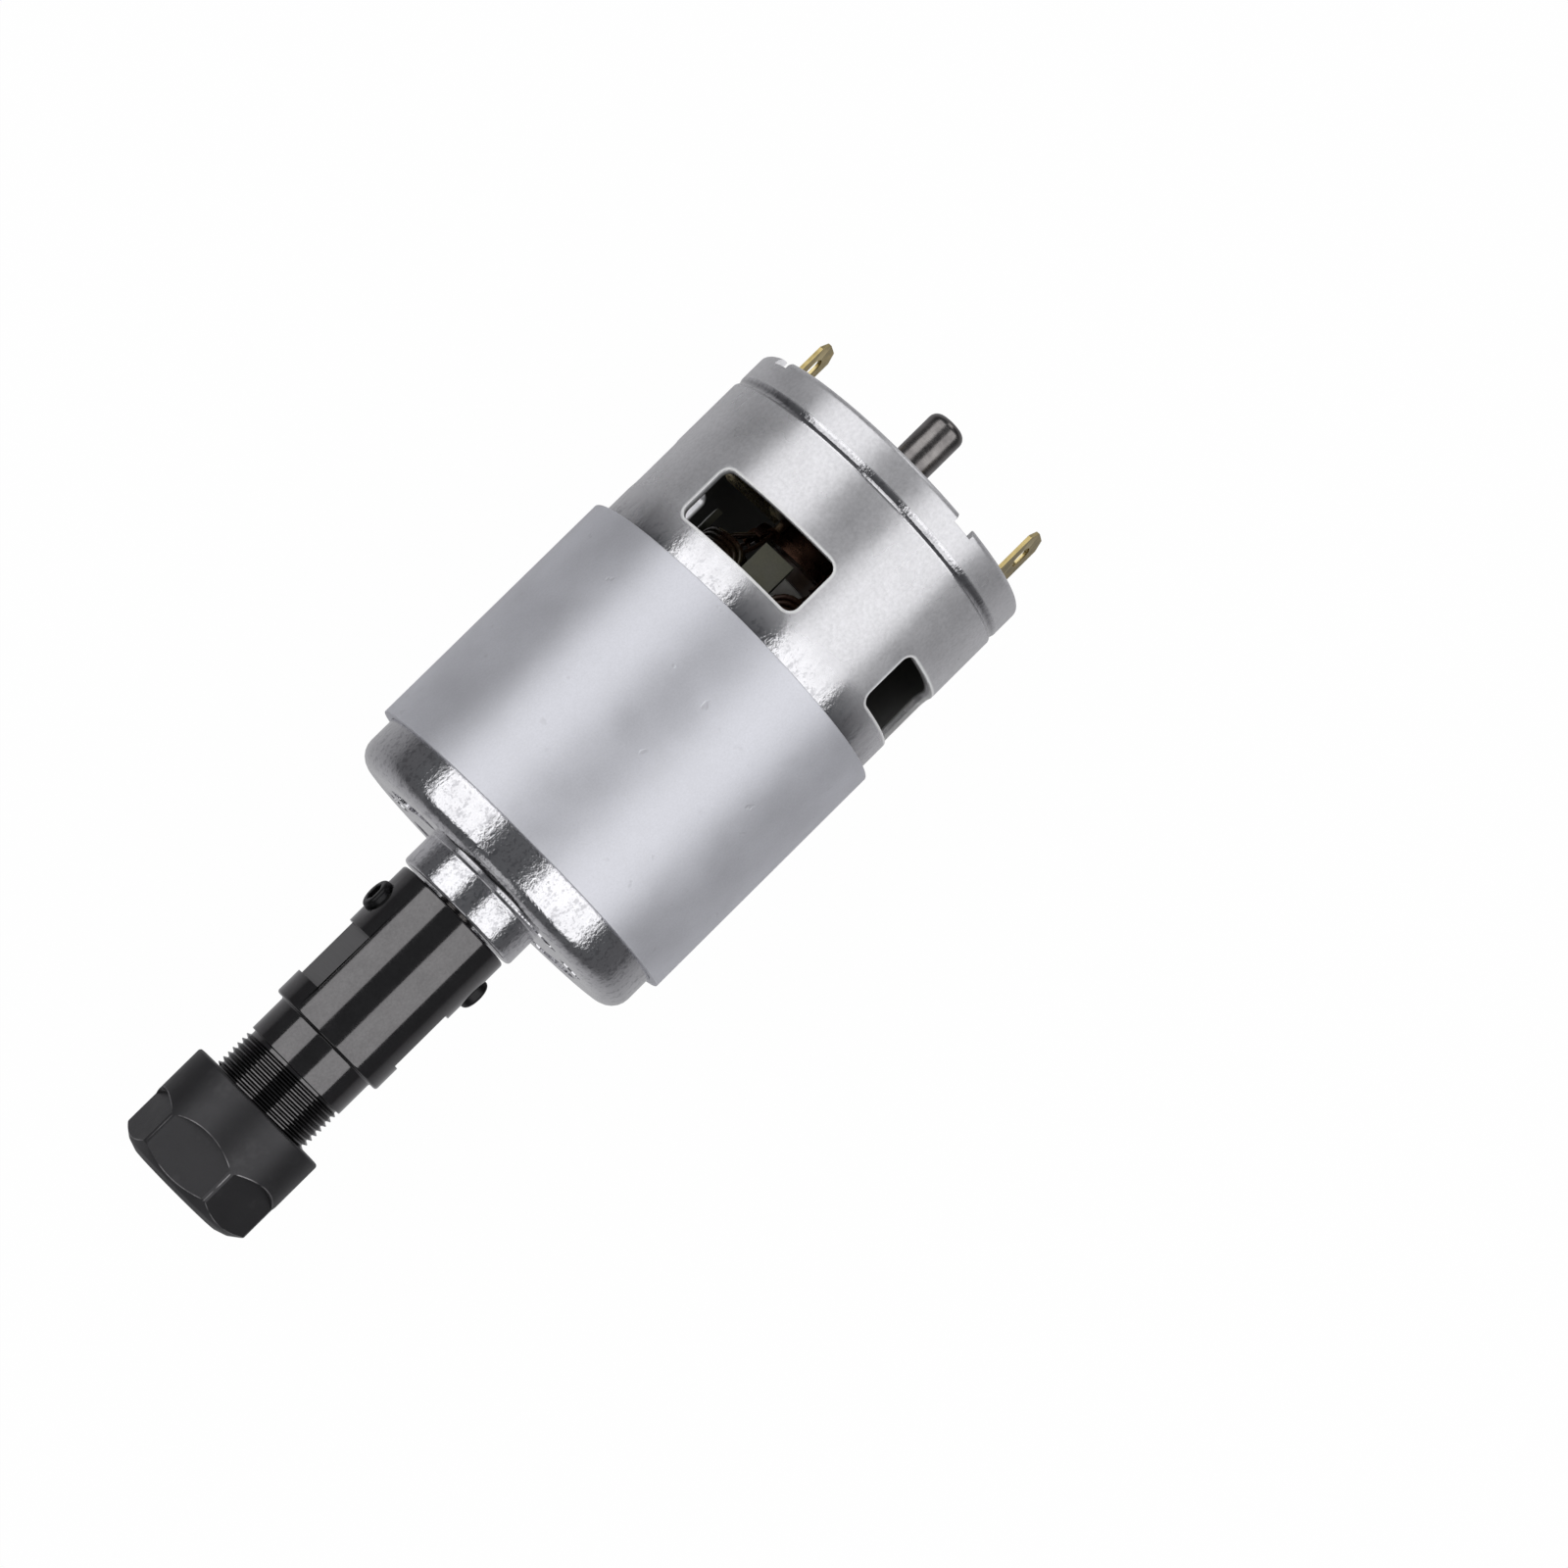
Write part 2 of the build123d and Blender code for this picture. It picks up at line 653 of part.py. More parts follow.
# Collet holder: turned body with a tapered socket in its nose and a bore for the shaft
holder_step = holder_back - holder_length
neck_radius = holder_radius - holder_shoulder
thread_root = neck_radius - 0.6134 * thread_pitch
socket_mouth = thread_root - socket_wall
neck_end = holder_step - neck_length
nose_face = neck_end - thread_length
socket_slope = tan(radians(socket_half_angle))
socket_end = nose_face + socket_depth
socket_back = socket_mouth - socket_depth * socket_slope
relief_end = socket_end + relief_depth
screw_x = holder_back - screw_place
flats_near = holder_back - flats_start
with BuildPart() as collet_holder:
    with BuildSketch(section):
        with BuildLine():
            Polyline(
                (holder_back, shaft_bore),
                (holder_back, holder_radius - holder_chamfer),
                (holder_back - holder_chamfer, holder_radius),
                (holder_step + holder_chamfer, holder_radius),
                (holder_step, holder_radius - holder_chamfer),
                (holder_step, neck_radius),
                (neck_end, neck_radius),
                (neck_end, thread_root),
                (nose_face + holder_chamfer, thread_root),
                (nose_face, thread_root - holder_chamfer),
                (nose_face, socket_mouth),
                (socket_end, socket_back),
                (socket_end, relief_radius),
                (relief_end, relief_radius),
                (relief_end, 0),
                (bore_front - 1, 0),
                (bore_front, shaft_bore),
                (holder_back, shaft_bore),
            )
        make_face()
    revolve(axis=Axis.X)

    # Two spanner flats, and a tapped hole for a set screw on each of the same sides
    for angle in (flats_angle, flats_angle + 180):
        with BuildSketch(facing_plane(angle, flats_across / 2)):
            with Locations((flats_near - flats_length / 2, 0)):
                Rectangle(flats_length, 3 * holder_radius)
        extrude(amount=holder_radius, mode=Mode.SUBTRACT)
        with BuildSketch(facing_plane(angle, 0)):
            with Locations((screw_x, 0)):
                Circle(screw_radius + seat_gap)
        extrude(amount=2 * holder_radius, mode=Mode.SUBTRACT)
collet_holder.part.label = "collet_holder"
export_step(collet_holder.part, "parts/collet_holder.step")

# Set screws that clamp the holder on the shaft
screw_end = holder_radius + screw_proud
screw_start = shaft_radius + press_gap
with BuildPart() as set_screws:
    for angle in (flats_angle, flats_angle + 180):
        with BuildSketch(facing_plane(angle, screw_start)):
            with Locations((screw_x, 0)):
                Circle(screw_radius)
        screw = extrude(amount=screw_end - screw_start)
        far_edge = screw.edges().filter_by(GeomType.CIRCLE).sort_by(lambda edge: abs(edge.center().Y))[-1]
        chamfer(far_edge, length=screw_dome)
        with BuildSketch(facing_plane(angle, screw_end)):
            with Locations((screw_x, 0)):
                RegularPolygon(hex_key / 2, 6, major_radius=False)
        extrude(amount=-hex_depth, mode=Mode.SUBTRACT)
set_screws.part.label = "set_screws"
export_step(set_screws.part, "parts/set_screws.step")

# Spring collet: tapered to the socket, with a nose cone, a puller groove and slots from both ends
collet_face = nose_face - collet_proud
collet_back = collet_face + collet_length
cone_slope = tan(radians(nut_cone_angle))
cone_length = collet_cone_drop / cone_slope
rim_back = collet_face + cone_length + collet_rim_length
groove_back = rim_back + collet_groove_length
taper_mouth = socket_mouth - taper_gap
taper_front = taper_mouth + (nose_face - groove_back) * socket_slope
collet_rim_radius = taper_front + collet_rim_step
collet_face_radius = collet_rim_radius - collet_cone_drop
collet_groove_radius = collet_rim_radius - collet_groove_depth
taper_back = taper_mouth - (collet_back - nose_face) * socket_slope
with BuildPart() as collet:
    with BuildSketch(section):
        with BuildLine():
            Polyline(
                (collet_face, collet_bore),
                (collet_face, collet_face_radius),
                (collet_face + cone_length, collet_rim_radius),
                (rim_back, collet_rim_radius),
                (rim_back, collet_groove_radius),
                (groove_back, collet_groove_radius),
                (groove_back, taper_front),
                (collet_back, taper_back),
                (collet_back, collet_bore),
                (collet_face, collet_bore),
            )
        make_face()
    revolve(axis=Axis.X)
    for copy in range(collet_slots):
        angle = nut_corner_angle + copy * 360 / collet_slots
        with BuildSketch(axial_plane(angle)):
            with Locations(((collet_face + collet_back - collet_slot_stop) / 2, collet_rim_radius / 2 + 0.5)):
                Rectangle(collet_length - collet_slot_stop, collet_rim_radius)
        extrude(amount=collet_slot_width / 2, both=True, mode=Mode.SUBTRACT)
        with BuildSketch(axial_plane(angle + 180 / collet_slots)):
            with Locations(((collet_face + collet_back + collet_slot_stop) / 2, collet_rim_radius / 2 + 0.5)):
                Rectangle(collet_length - collet_slot_stop, collet_rim_radius)
        extrude(amount=collet_slot_width / 2, both=True, mode=Mode.SUBTRACT)
collet.part.label = "collet"
export_step(collet.part, "parts/collet.step")

# Clamp nut: round collar with a hexagon on its nose, and a cone that presses the collet home
nut_face = collet_face - nut_cover
nut_back = nut_face + nut_length
nut_bore = neck_radius + thread_gap
nut_radius = nut_bore + nut_wall
nut_lip_radius = collet_face_radius + nut_lip_gap
nut_nose_radius = nut_lip_radius + nut_lip_width
nut_thread_end = nut_back - nut_thread_length
cone_mouth = collet_rim_radius + seat_gap
cone_back = collet_face + cone_length
cone_front = cone_back - (cone_mouth - nut_lip_radius) / cone_slope
pull_ring_back = rim_back + seat_gap
pull_ring_radius = collet_rim_radius + 2 * seat_gap
flat_end = nut_face + nut_flat_length
flat_distance = nut_radius - nut_flat_depth
ramp_length = (nut_radius - flat_distance) / tan(radians(30))
with BuildPart() as clamp_nut:
    with BuildSketch(section):
        with BuildLine():
            Polyline(
                (nut_back, nut_bore),
                (nut_back, nut_radius - nut_back_chamfer),
                (nut_back - nut_back_chamfer, nut_radius),
                (nut_face + nut_nose_drop, nut_radius),
                (nut_face + nut_crown, nut_radius - nut_crown_drop),
                (nut_face, nut_nose_radius),
                (nut_face, nut_lip_radius),
                (cone_front, nut_lip_radius),
                (cone_back, cone_mouth),
                (pull_ring_back, pull_ring_radius),
                (nut_thread_end, pull_ring_radius),
                (nut_thread_end, nut_bore),
                (nut_back, nut_bore),
            )
        make_face()
    revolve(axis=Axis.X)
    for copy in range(6):
        angle = nut_corner_angle + 30 + copy * 60
        with BuildSketch(axial_plane(angle)):
            with BuildLine():
                Polyline(
                    (nut_face - 1, flat_distance),
                    (flat_end, flat_distance),
                    (flat_end + 2 * ramp_length, 2 * nut_radius - flat_distance),
                    (nut_face - 1, 2 * nut_radius - flat_distance),
                    (nut_face - 1, flat_distance),
                )
            make_face()
        extrude(amount=nut_radius, both=True, mode=Mode.SUBTRACT)
clamp_nut.part.label = "clamp_nut"
export_step(clamp_nut.part, "parts/clamp_nut.step")
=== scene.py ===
"""Motor spindle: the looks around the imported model, laid out as a Blender add-on.

Outlines and places are in millimetres, and angles in degrees from +Y towards +Z.
"""

import json
import math
import random

import bmesh
import bpy
from mathutils import Matrix, Vector


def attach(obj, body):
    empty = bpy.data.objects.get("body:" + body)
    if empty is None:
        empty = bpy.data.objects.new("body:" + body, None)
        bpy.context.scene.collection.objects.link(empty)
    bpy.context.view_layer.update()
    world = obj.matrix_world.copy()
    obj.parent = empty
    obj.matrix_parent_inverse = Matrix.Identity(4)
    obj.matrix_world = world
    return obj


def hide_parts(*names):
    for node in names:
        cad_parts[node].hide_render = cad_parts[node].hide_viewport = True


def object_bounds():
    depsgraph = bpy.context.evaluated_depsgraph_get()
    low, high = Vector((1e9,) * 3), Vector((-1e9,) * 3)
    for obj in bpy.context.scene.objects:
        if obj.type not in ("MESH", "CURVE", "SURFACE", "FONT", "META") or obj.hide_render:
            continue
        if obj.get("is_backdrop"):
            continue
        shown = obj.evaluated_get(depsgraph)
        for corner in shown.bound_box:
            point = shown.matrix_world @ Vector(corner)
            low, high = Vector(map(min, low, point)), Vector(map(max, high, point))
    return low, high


bl_info = {
    "name": "Motor Spindle",
    "version": (1, 0, 0),
    "blender": (4, 5, 0),
    "location": "View3D > Sidebar > Spindle",
    "description": "Builds the can, flux ring, armature, collet holder and nut of a motor spindle",
    "category": "Add Mesh",
}

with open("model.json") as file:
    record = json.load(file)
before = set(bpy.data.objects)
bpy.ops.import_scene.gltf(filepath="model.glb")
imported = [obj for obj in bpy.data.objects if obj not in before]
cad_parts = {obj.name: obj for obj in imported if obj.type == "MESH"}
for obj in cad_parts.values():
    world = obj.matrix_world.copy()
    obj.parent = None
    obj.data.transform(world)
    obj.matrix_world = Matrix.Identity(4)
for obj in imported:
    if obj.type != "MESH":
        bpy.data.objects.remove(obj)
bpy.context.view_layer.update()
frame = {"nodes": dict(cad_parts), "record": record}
MM = 0.001

# The can, its windows and its rim
CAN_RADIUS = 21.0
CAN_INNER = 19.7
CAN_END = 66.7
WINDOW_ANGLE = 70.5
WINDOW_MIDDLE = 48.35
WINDOW_LENGTH = 3.85  # half of it, along the spindle
WINDOW_WIDTH = 8.95  # half of it, round the spindle
GROOVE_X = 62.1
BOLT_CIRCLE = 14.5
BOLT_HOLE = 1.65

# The rear cover and the terminals
COVER_FACE = 65.1
BRUSH_ANGLE = 160.5
BRUSHES = (("a", BRUSH_ANGLE), ("b", BRUSH_ANGLE + 180))
TAB_CIRCLE = 17.2
TAB_END = 73.9
TAB_HALF = 2.4

# The armature
SLOT_ANGLE = 74.0
SLOT_COUNT = 5
TEETH = [SLOT_ANGLE + (copy + 0.5) * 360 / SLOT_COUNT for copy in range(SLOT_COUNT)]
CORE_FRONT = 10.0
CORE_REAR = 40.0

# The holder and its set screws
HOLDER_RADIUS = 8.0
NOSE_RADIUS = 7.0
FLATS_ANGLE = 16.0
FLATS_MIDDLE = -17.725
FLATS_LENGTH = 4.075  # half of it
FLATS_LEVEL = 6.5
SCREW_X = -9.5
SCREW_RADIUS = 2.0

# The nut: a flat's level and the arc in which it runs out into the collar
NUT_ANGLE = 138
NUT_RADIUS = 9.5
NUT_FLAT = 8.4
NUT_ARC = 8.6
NUT_ARC_X = 50.6


# ---------------- mesh tools


def outward(angle):
    """The direction away from the axis at an angle round it."""
    turn = math.radians(angle)
    return Vector((0, math.cos(turn), math.sin(turn)))


def spin(x, radius, angle):
    """A point in metres from its place along the axis, radius and angle."""
    turn = math.radians(angle)
    return Vector((x * MM, radius * MM * math.cos(turn), radius * MM * math.sin(turn)))


def polar(radius, angle):
    """The (y, z) place at a radius and angle."""
    spot = spin(0, radius, angle) / MM
    return spot.y, spot.z


def facing(angle, x=0.0):
    """A matrix that turns +X outwards at an angle round the axis, with +Y along the spindle."""
    out = outward(angle)
    along = Vector((1, 0, 0))
    side = out.cross(along)
    return Matrix.Translation((x * MM, 0, 0)) @ Matrix((out, along, side)).transposed().to_4x4()


def upright(angle):
    """A matrix for a side outline of (place along the axis, radius), drawn out sideways."""
    out = outward(angle)
    along = Vector((1, 0, 0))
    return Matrix((along.cross(out), along, out)).transposed().to_4x4()


def rounded(corners, steps=6):
    """An outline of (a, b) points from (a, b, bend) corners, each bend turned into an arc."""
    outline = []
    for place, (a, b, bend) in enumerate(corners):
        corner = Vector((a, b))
        if not bend:
            outline.append((a, b))
            continue
        back = (Vector(corners[place - 1][:2]) - corner).normalized()
        ahead = (Vector(corners[(place + 1) % len(corners)][:2]) - corner).normalized()
        half = back.angle(ahead) / 2
        centre = corner + (back + ahead).normalized() * (bend / math.sin(half))
        first = corner + back * (bend / math.tan(half)) - centre
        last = corner + ahead * (bend / math.tan(half)) - centre
        for step in range(steps + 1):
            spoke = first.slerp(last, step / steps).normalized() * bend
            outline.append((centre.x + spoke.x, centre.y + spoke.y))
    return outline


def plate(a, b, bend=0.0, steps=6):
    """The outline of a rectangle from its half sizes and the bend of its corners."""
    return rounded([(-a, -b, bend), (a, -b, bend), (a, b, bend), (-a, b, bend)], steps)


def circle(radius, count, a=0.0, b=0.0):
    """The outline of a circle round (a, b)."""
    turns = [2 * math.pi * step / count for step in range(count)]
    return [(a + radius * math.cos(turn), b + radius * math.sin(turn)) for turn in turns]


def skin(work, rings):
    """Adds the faces between each ring of corners and the next."""
    for here, there in zip(rings, rings[1:]):
        for low in range(len(here)):
            high = (low + 1) % len(here)
            work.faces.new((here[low], here[high], there[high], there[low]))


def turned(outline, segments=128, begin=0.0, sweep=360.0):
    """A body turned about the spindle axis from an outline of (x, radius) points."""
    work = bmesh.new()
    whole = sweep >= 360.0
    rings = []
    for step in range(segments if whole else segments + 1):
        angle = begin + sweep * step / segments
        rings.append([work.verts.new(spin(x, radius, angle)) for x, radius in outline])
    skin(work, rings + rings[:1] if whole else rings)
    if not whole:
        work.faces.new(rings[0])
        work.faces.new(reversed(rings[-1]))
    bmesh.ops.remove_doubles(work, verts=work.verts, dist=1e-7)
    bmesh.ops.recalc_face_normals(work, faces=work.faces)
    return work


def prism(outline, low, high, matrix=None):
    """A flat outline of (a, b) points drawn out from low to high; a matrix sets it in place."""
    work = bmesh.new()
    bottom = [work.verts.new((low * MM, a * MM, b * MM)) for a, b in outline]
    top = [work.verts.new((high * MM, a * MM, b * MM)) for a, b in outline]
    work.faces.new(bottom)
    work.faces.new(reversed(top))
    for place in range(len(outline)):
        after = (place + 1) % len(outline)
        work.faces.new((bottom[place], top[place], top[after], bottom[after]))
    if matrix is not None:
        bmesh.ops.transform(work, matrix=matrix, verts=work.verts)
    bmesh.ops.recalc_face_normals(work, faces=work.faces)
    return work


def tube(work, path, radius, ends=True):
    """Adds a wire of round section along a path of points in metres."""
    sides = 8
    rings = []
    side = None
    for place, point in enumerate(path):
        ahead = path[min(place + 1, len(path) - 1)] - path[max(place - 1, 0)]
        ahead.normalize()
        if side is None:
            side = ahead.orthogonal().normalized()
        side = (side - ahead * side.dot(ahead)).normalized()
        up = ahead.cross(side)
        ring = []
        for step in range(sides):
            turn = 2 * math.pi * step / sides
            spoke = side * math.cos(turn) + up * math.sin(turn)
            ring.append(work.verts.new(point + spoke * radius * MM))
        rings.append(ring)
    skin(work, rings)
    if ends:
        work.faces.new(reversed(rings[0]))
        work.faces.new(rings[-1])


def baked(name, work):
    """A body's mesh; the body itself is freed."""
    mesh = bpy.data.meshes.new(name)
    work.to_mesh(mesh)
    work.free()
    return mesh


def placed(name, data):
    """A new object in the scene."""
    item = bpy.data.objects.new(name, data)
    bpy.context.scene.collection.objects.link(item)
    return item


def join(work, other):
    """Adds another body to this one."""
    mesh = baked("part", other)
    work.from_mesh(mesh)
    bpy.data.meshes.remove(mesh)


def shown(name, work, body, slot, sharp=32.0, finish=None):
    """A smooth-shaded piece that rides on a CAD body, in its slot's finish or another."""
    bmesh.ops.recalc_face_normals(work, faces=work.faces)
    piece = placed(name, baked(name, work))
    smooth(piece, sharp)
    piece.data.materials.append(FINISHES[finish or slot])
    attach(piece, body)
    return piece


def smooth(piece, sharp):
    """Smooth faces, with sharp edges above an angle and normals led by the large faces."""
    mesh = piece.data
    mesh.polygons.foreach_set("use_smooth", [True] * len(mesh.polygons))
    mesh.set_sharp_from_angle(angle=math.radians(sharp))
    weight = piece.modifiers.new("weighted_normals", "WEIGHTED_NORMAL")
    weight.keep_sharp = True
    weight.weight = 60


def carved(work, cutters):
    """The body with every cutter taken away from it."""
    solid, *tools = (placed("carving", baked("carving", body)) for body in (work, *cutters))
    for tool in tools:
        change = solid.modifiers.new("cut", "BOOLEAN")
        change.operation = "DIFFERENCE"
        change.solver = "EXACT"
        change.object = tool
    bpy.context.view_layer.update()
    graph = bpy.context.evaluated_depsgraph_get()
    mesh = bpy.data.meshes.new_from_object(solid.evaluated_get(graph))
    result = bmesh.new()
    result.from_mesh(mesh)
    bpy.data.meshes.remove(mesh)
    for item in (solid, *tools):
        bpy.data.meshes.remove(item.data)
    bmesh.ops.remove_doubles(result, verts=result.verts, dist=2e-6)
    if not result.faces:
        raise RuntimeError("a cut left nothing")
    return result


def soften(work, width, least, test, segments=3):
    """Rounds the edges that are sharper than an angle and pass a test of their middle point."""
    chosen = []
    for edge in work.edges:
        if len(edge.link_faces) != 2:
            continue
        middle = (edge.verts[0].co + edge.verts[1].co) / 2 / MM
        radius = math.hypot(middle.y, middle.z)
        if edge.calc_face_angle(0.0) > math.radians(least) and test(middle, radius):
            chosen.append(edge)
    if not chosen:
        raise RuntimeError("no edge to soften")
    bmesh.ops.bevel(
        work, geom=chosen, offset=width * MM, offset_type="OFFSET", segments=segments,
        profile=0.5, affect="EDGES", clamp_overlap=True,
    )


# ---------------- shader maths


def operator(kind, swapped=False):
    """A method of Socket that adds one kind of Math node."""
    def method(self, *others):
        values = (*others, self) if swapped else (self, *others)
        return self.math(kind, *values)
    return method


class Socket:
    """An output socket that takes part in Python expressions: each operator adds its Math node."""

    def __init__(self, tree, socket):
        self.tree = tree
        self.socket = socket

    def math(self, operation, *values, clamp=False):
        node = self.tree.nodes.new("ShaderNodeMath")
        node.operation = operation
        node.use_clamp = clamp
        for slot, value in zip(node.inputs, values):
            plug(self.tree, value, slot)
        return Socket(self.tree, node.outputs[0])

    __add__ = operator("ADD")
    __radd__ = operator("ADD", swapped=True)
    __sub__ = operator("SUBTRACT")
    __rsub__ = operator("SUBTRACT", swapped=True)
    __mul__ = operator("MULTIPLY")
    __truediv__ = operator("DIVIDE")
    __pow__ = operator("POWER")
    __abs__ = operator("ABSOLUTE")
    most = operator("MAXIMUM")
    least = operator("MINIMUM")
    root = operator("SQRT")
    fraction = operator("FRACT")

    def clamped(self):
        return self.math("ADD", self, 0.0, clamp=True)


def plug(tree, value, slot):
    """Joins a value, colour or wrapped socket to an input."""
    if isinstance(value, Socket):
        tree.links.new(value.socket, slot)
    elif hasattr(slot, "default_value"):
        if hasattr(value, "__len__") and len(value) == 3 and slot.type == "RGBA":
            value = (*value, 1.0)
        slot.default_value = value


class Finish:
    """A material under construction: node() adds any node, and shader() its surface."""

    def __init__(self, name):
        self.material = bpy.data.materials.new(name)
        self.material.use_nodes = True
        self.tree = self.material.node_tree
        self.tree.nodes.clear()

    def node(self, kind, settings=None, values=None, output=0):
        node = self.tree.nodes.new(kind)
        for key, value in (settings or {}).items():
            setattr(node, key, value)
        for key, value in (values or {}).items():
            plug(self.tree, value, node.inputs[key])
        return Socket(self.tree, node.outputs[output])

    def spot(self):
        """Object coordinates in metres."""
        return self.node("ShaderNodeTexCoord", output=3)

    def place(self, scale):
        """Object coordinates stretched by a scale."""
        return self.node("ShaderNodeMapping", None, {"Vector": self.spot(), "Scale": scale})

    def noise(self, scale, detail=3.0, rough=0.6, stretch=(1, 1, 1)):
        """Noise from 0 to 1, with its scale in features per metre."""
        return self.node("ShaderNodeTexNoise", None, {
            "Vector": self.place(stretch), "Scale": scale, "Detail": detail, "Roughness": rough,
        })

    def spread(self, value, low, high, to_low=0.0, to_high=1.0):
        """Stretches a value's range, held at both ends."""
        return self.node("ShaderNodeMapRange", {"clamp": True}, {
            "Value": value, "From Min": low, "From Max": high,
            "To Min": to_low, "To Max": to_high,
        })

    def beyond(self, value, low, high):
        """0 up to a place and 1 from another on, in millimetres."""
        return self.spread(value, low * MM, high * MM)

    def within(self, value, low, high):
        """1 up to a place and 0 from another on, in millimetres."""
        return self.spread(value, low * MM, high * MM, 1.0, 0.0)

    def tint(self, share, low, high):
        """A colour between two, by a share from 0 to 1."""
        settings = {"data_type": "RGBA", "clamp_factor": True}
        return self.node("ShaderNodeMix", settings, {0: share, 6: low, 7: high}, output=2)

    def along(self):
        """Place along the spindle, in metres."""
        return self.node("ShaderNodeSeparateXYZ", None, {"Vector": self.spot()}, output=0)

    def across(self, angle):
        """Place along the direction of an angle round the axis, in metres."""
        values = {0: self.spot(), 1: outward(angle)}
        return self.node("ShaderNodeVectorMath", {"operation": "DOT_PRODUCT"}, values, output=1)

    def radius(self):
        """Distance from the spindle's axis, in metres."""
        spot = self.place((0, 1, 1))
        return self.node("ShaderNodeVectorMath", {"operation": "LENGTH"}, {0: spot}, output=1)

    def edge_wear(self, low, high):
        """Share of worn edge, from the surface's sharpness."""
        sharp = self.node("ShaderNodeNewGeometry", output=7)
        return self.spread(sharp, low, high)

    def bump(self, height, strength, distance):
        return self.node("ShaderNodeBump", None, {
            "Height": height, "Strength": strength, "Distance": distance * MM,
        })

    def shader(self, colour, roughness, metallic, normal):
        surface = self.node("ShaderNodeBsdfPrincipled", None, {
            "Base Color": colour, "Roughness": roughness, "Metallic": metallic, "Normal": normal,
        })
        return self.finished(surface)

    def finished(self, surface):
        out = self.tree.nodes.new("ShaderNodeOutputMaterial")
        self.tree.links.new(surface.socket, out.inputs["Surface"])
        return self.material


# ---------------- finishes


def shade(colour, share):
    """A colour made darker or lighter by one factor."""
    return tuple(value * share for value in colour)


def plated_steel(sizes):
    """Plating on the can: mirror-like and speckled on the shoulder, beside the ring and in the
    rim's groove, smooth satin between, with a painted highlight round the windows, painted shade
    along the rim's groove and, inside, dull plating painted dark as shade."""
    f = Finish("plated_steel")
    speckle = f.noise(2200)
    cloud = f.noise(130)
    smear = f.noise(900, stretch=(0.5, 1, 1))
    along, radius = f.along(), f.radius()
    satin = f.beyond(along, 40.5, 45.5) * f.within(along, 61.3, 61.6)
    satin = (satin + f.beyond(along, 62.6, 62.9)).clamped()
    # Painted shade: the can's inner wall is made rougher and coloured near black
    painted_inner_shade = f.within(radius, 19.75, 20.1)
    painted_inner_shade = painted_inner_shade * f.beyond(along, 0.6, 0.9) * f.within(along, 63.0, 63.2)
    # Distance from the nearest window's rounded outline, the four windows laid over each other
    corner = sizes.window_corner / MM
    side = abs(f.across(WINDOW_ANGLE)).least(abs(f.across(WINDOW_ANGLE + 90)))
    wide = (abs(along - WINDOW_MIDDLE * MM) - (WINDOW_LENGTH - corner) * MM).most(0.0)
    high = (side - (WINDOW_WIDTH - corner) * MM).most(0.0)
    gap = (wide ** 2 + high ** 2).root() - corner * MM
    # Painted highlight: a pale, less metallic band just outside each window's rounded edge stands
    # in for the light on its rim
    wear_and_edge_highlight = f.within(gap, 0.22, 0.42) * (1 - painted_inner_shade) * f.beyond(radius, 20.45, 20.6)
    share = f.spread(speckle * 0.5 + cloud * 0.5, 0.36, 0.60)
    colour = f.tint(share, shade(sizes.can_colour, 0.80), sizes.can_colour)
    mottle = f.spread(speckle * 0.6 + smear * 0.4, 0.50, 0.60) * (1 - satin)
    colour = f.tint(mottle * 0.45, colour, (0.16, 0.16, 0.18))
    colour = f.tint(wear_and_edge_highlight, colour, (0.95, 0.95, 0.95))
    colour = f.tint(painted_inner_shade, colour, (0.10, 0.10, 0.095))
    # Painted shade: the colour darkens along the rim's groove
    groove = f.within(abs(along - GROOVE_X * MM), 0.25, 0.45)
    colour = f.tint(groove * 0.3, colour, (0.05, 0.05, 0.055))
    grain = f.spread(cloud, 0.38, 0.62)
    rough = 0.04 + grain * 0.08 + satin * 0.23 + painted_inner_shade * 0.3 + wear_and_edge_highlight * 0.15
    bump = f.bump((speckle * 0.75 + smear * 0.25) * (1 - satin), 1.0, 0.05)
    return f.shader(colour, rough, 1.0 - satin * 0.38 - wear_and_edge_highlight * 0.45, bump)


def zinc_sheet(sizes):
    """Matte violet-grey zinc on the rolled flux ring, with a few small blemishes."""
    f = Finish("zinc_sheet")
    grain = f.noise(3600, 4.0, 0.65)
    cloud = f.noise(110, 3.0, 0.55)
    share = f.spread(cloud * 0.6 + grain * 0.4, 0.38, 0.62)
    colour = f.tint(share, shade(sizes.ring_colour, 0.88), sizes.ring_colour)
    mark = f.spread(f.noise(520, 2.0, 0.5), 0.70, 0.76)
    colour = f.tint(mark * 0.16, colour, (0.40, 0.39, 0.41))
    rough = f.spread(cloud, 0.35, 0.65, 0.42, 0.48)
    bump = f.bump(grain * 0.1 - mark, 0.5, 0.05)
    return f.shader(colour, rough, 0.58, bump)


def black_oxide(sizes):
    """Glossy black oxide on turned steel, with lathe lines round the axis and duller flats."""
    f = Finish("black_oxide")
    lines = f.noise(7000, 2.0, 0.5, stretch=(1, 0.02, 0.02))
    cloud = f.noise(420, 4.0, 0.6)
    grain = f.noise(3200)
    level = abs(f.across(FLATS_ANGLE))
    milled = f.within(abs(level - FLATS_LEVEL * MM), 0.03, 0.06)
    milled = milled * f.within(abs(f.along() - FLATS_MIDDLE * MM), 4.06, 4.12)
    share = f.spread(grain * 0.6 + cloud * 0.4, 0.36, 0.62)
    colour = f.tint(share, sizes.oxide_colour, shade(sizes.oxide_colour, 1.25))
    colour = f.tint(f.edge_wear(0.54, 0.62) * 0.35, colour, (0.30, 0.29, 0.28))
    rough = f.spread(cloud * 0.3 + lines * 0.4 + grain * 0.3, 0.38, 0.62, 0.07, 0.13)
    return f.shader(colour, rough + milled * 0.30, 1.0, f.bump(lines, 0.08, 0.012))


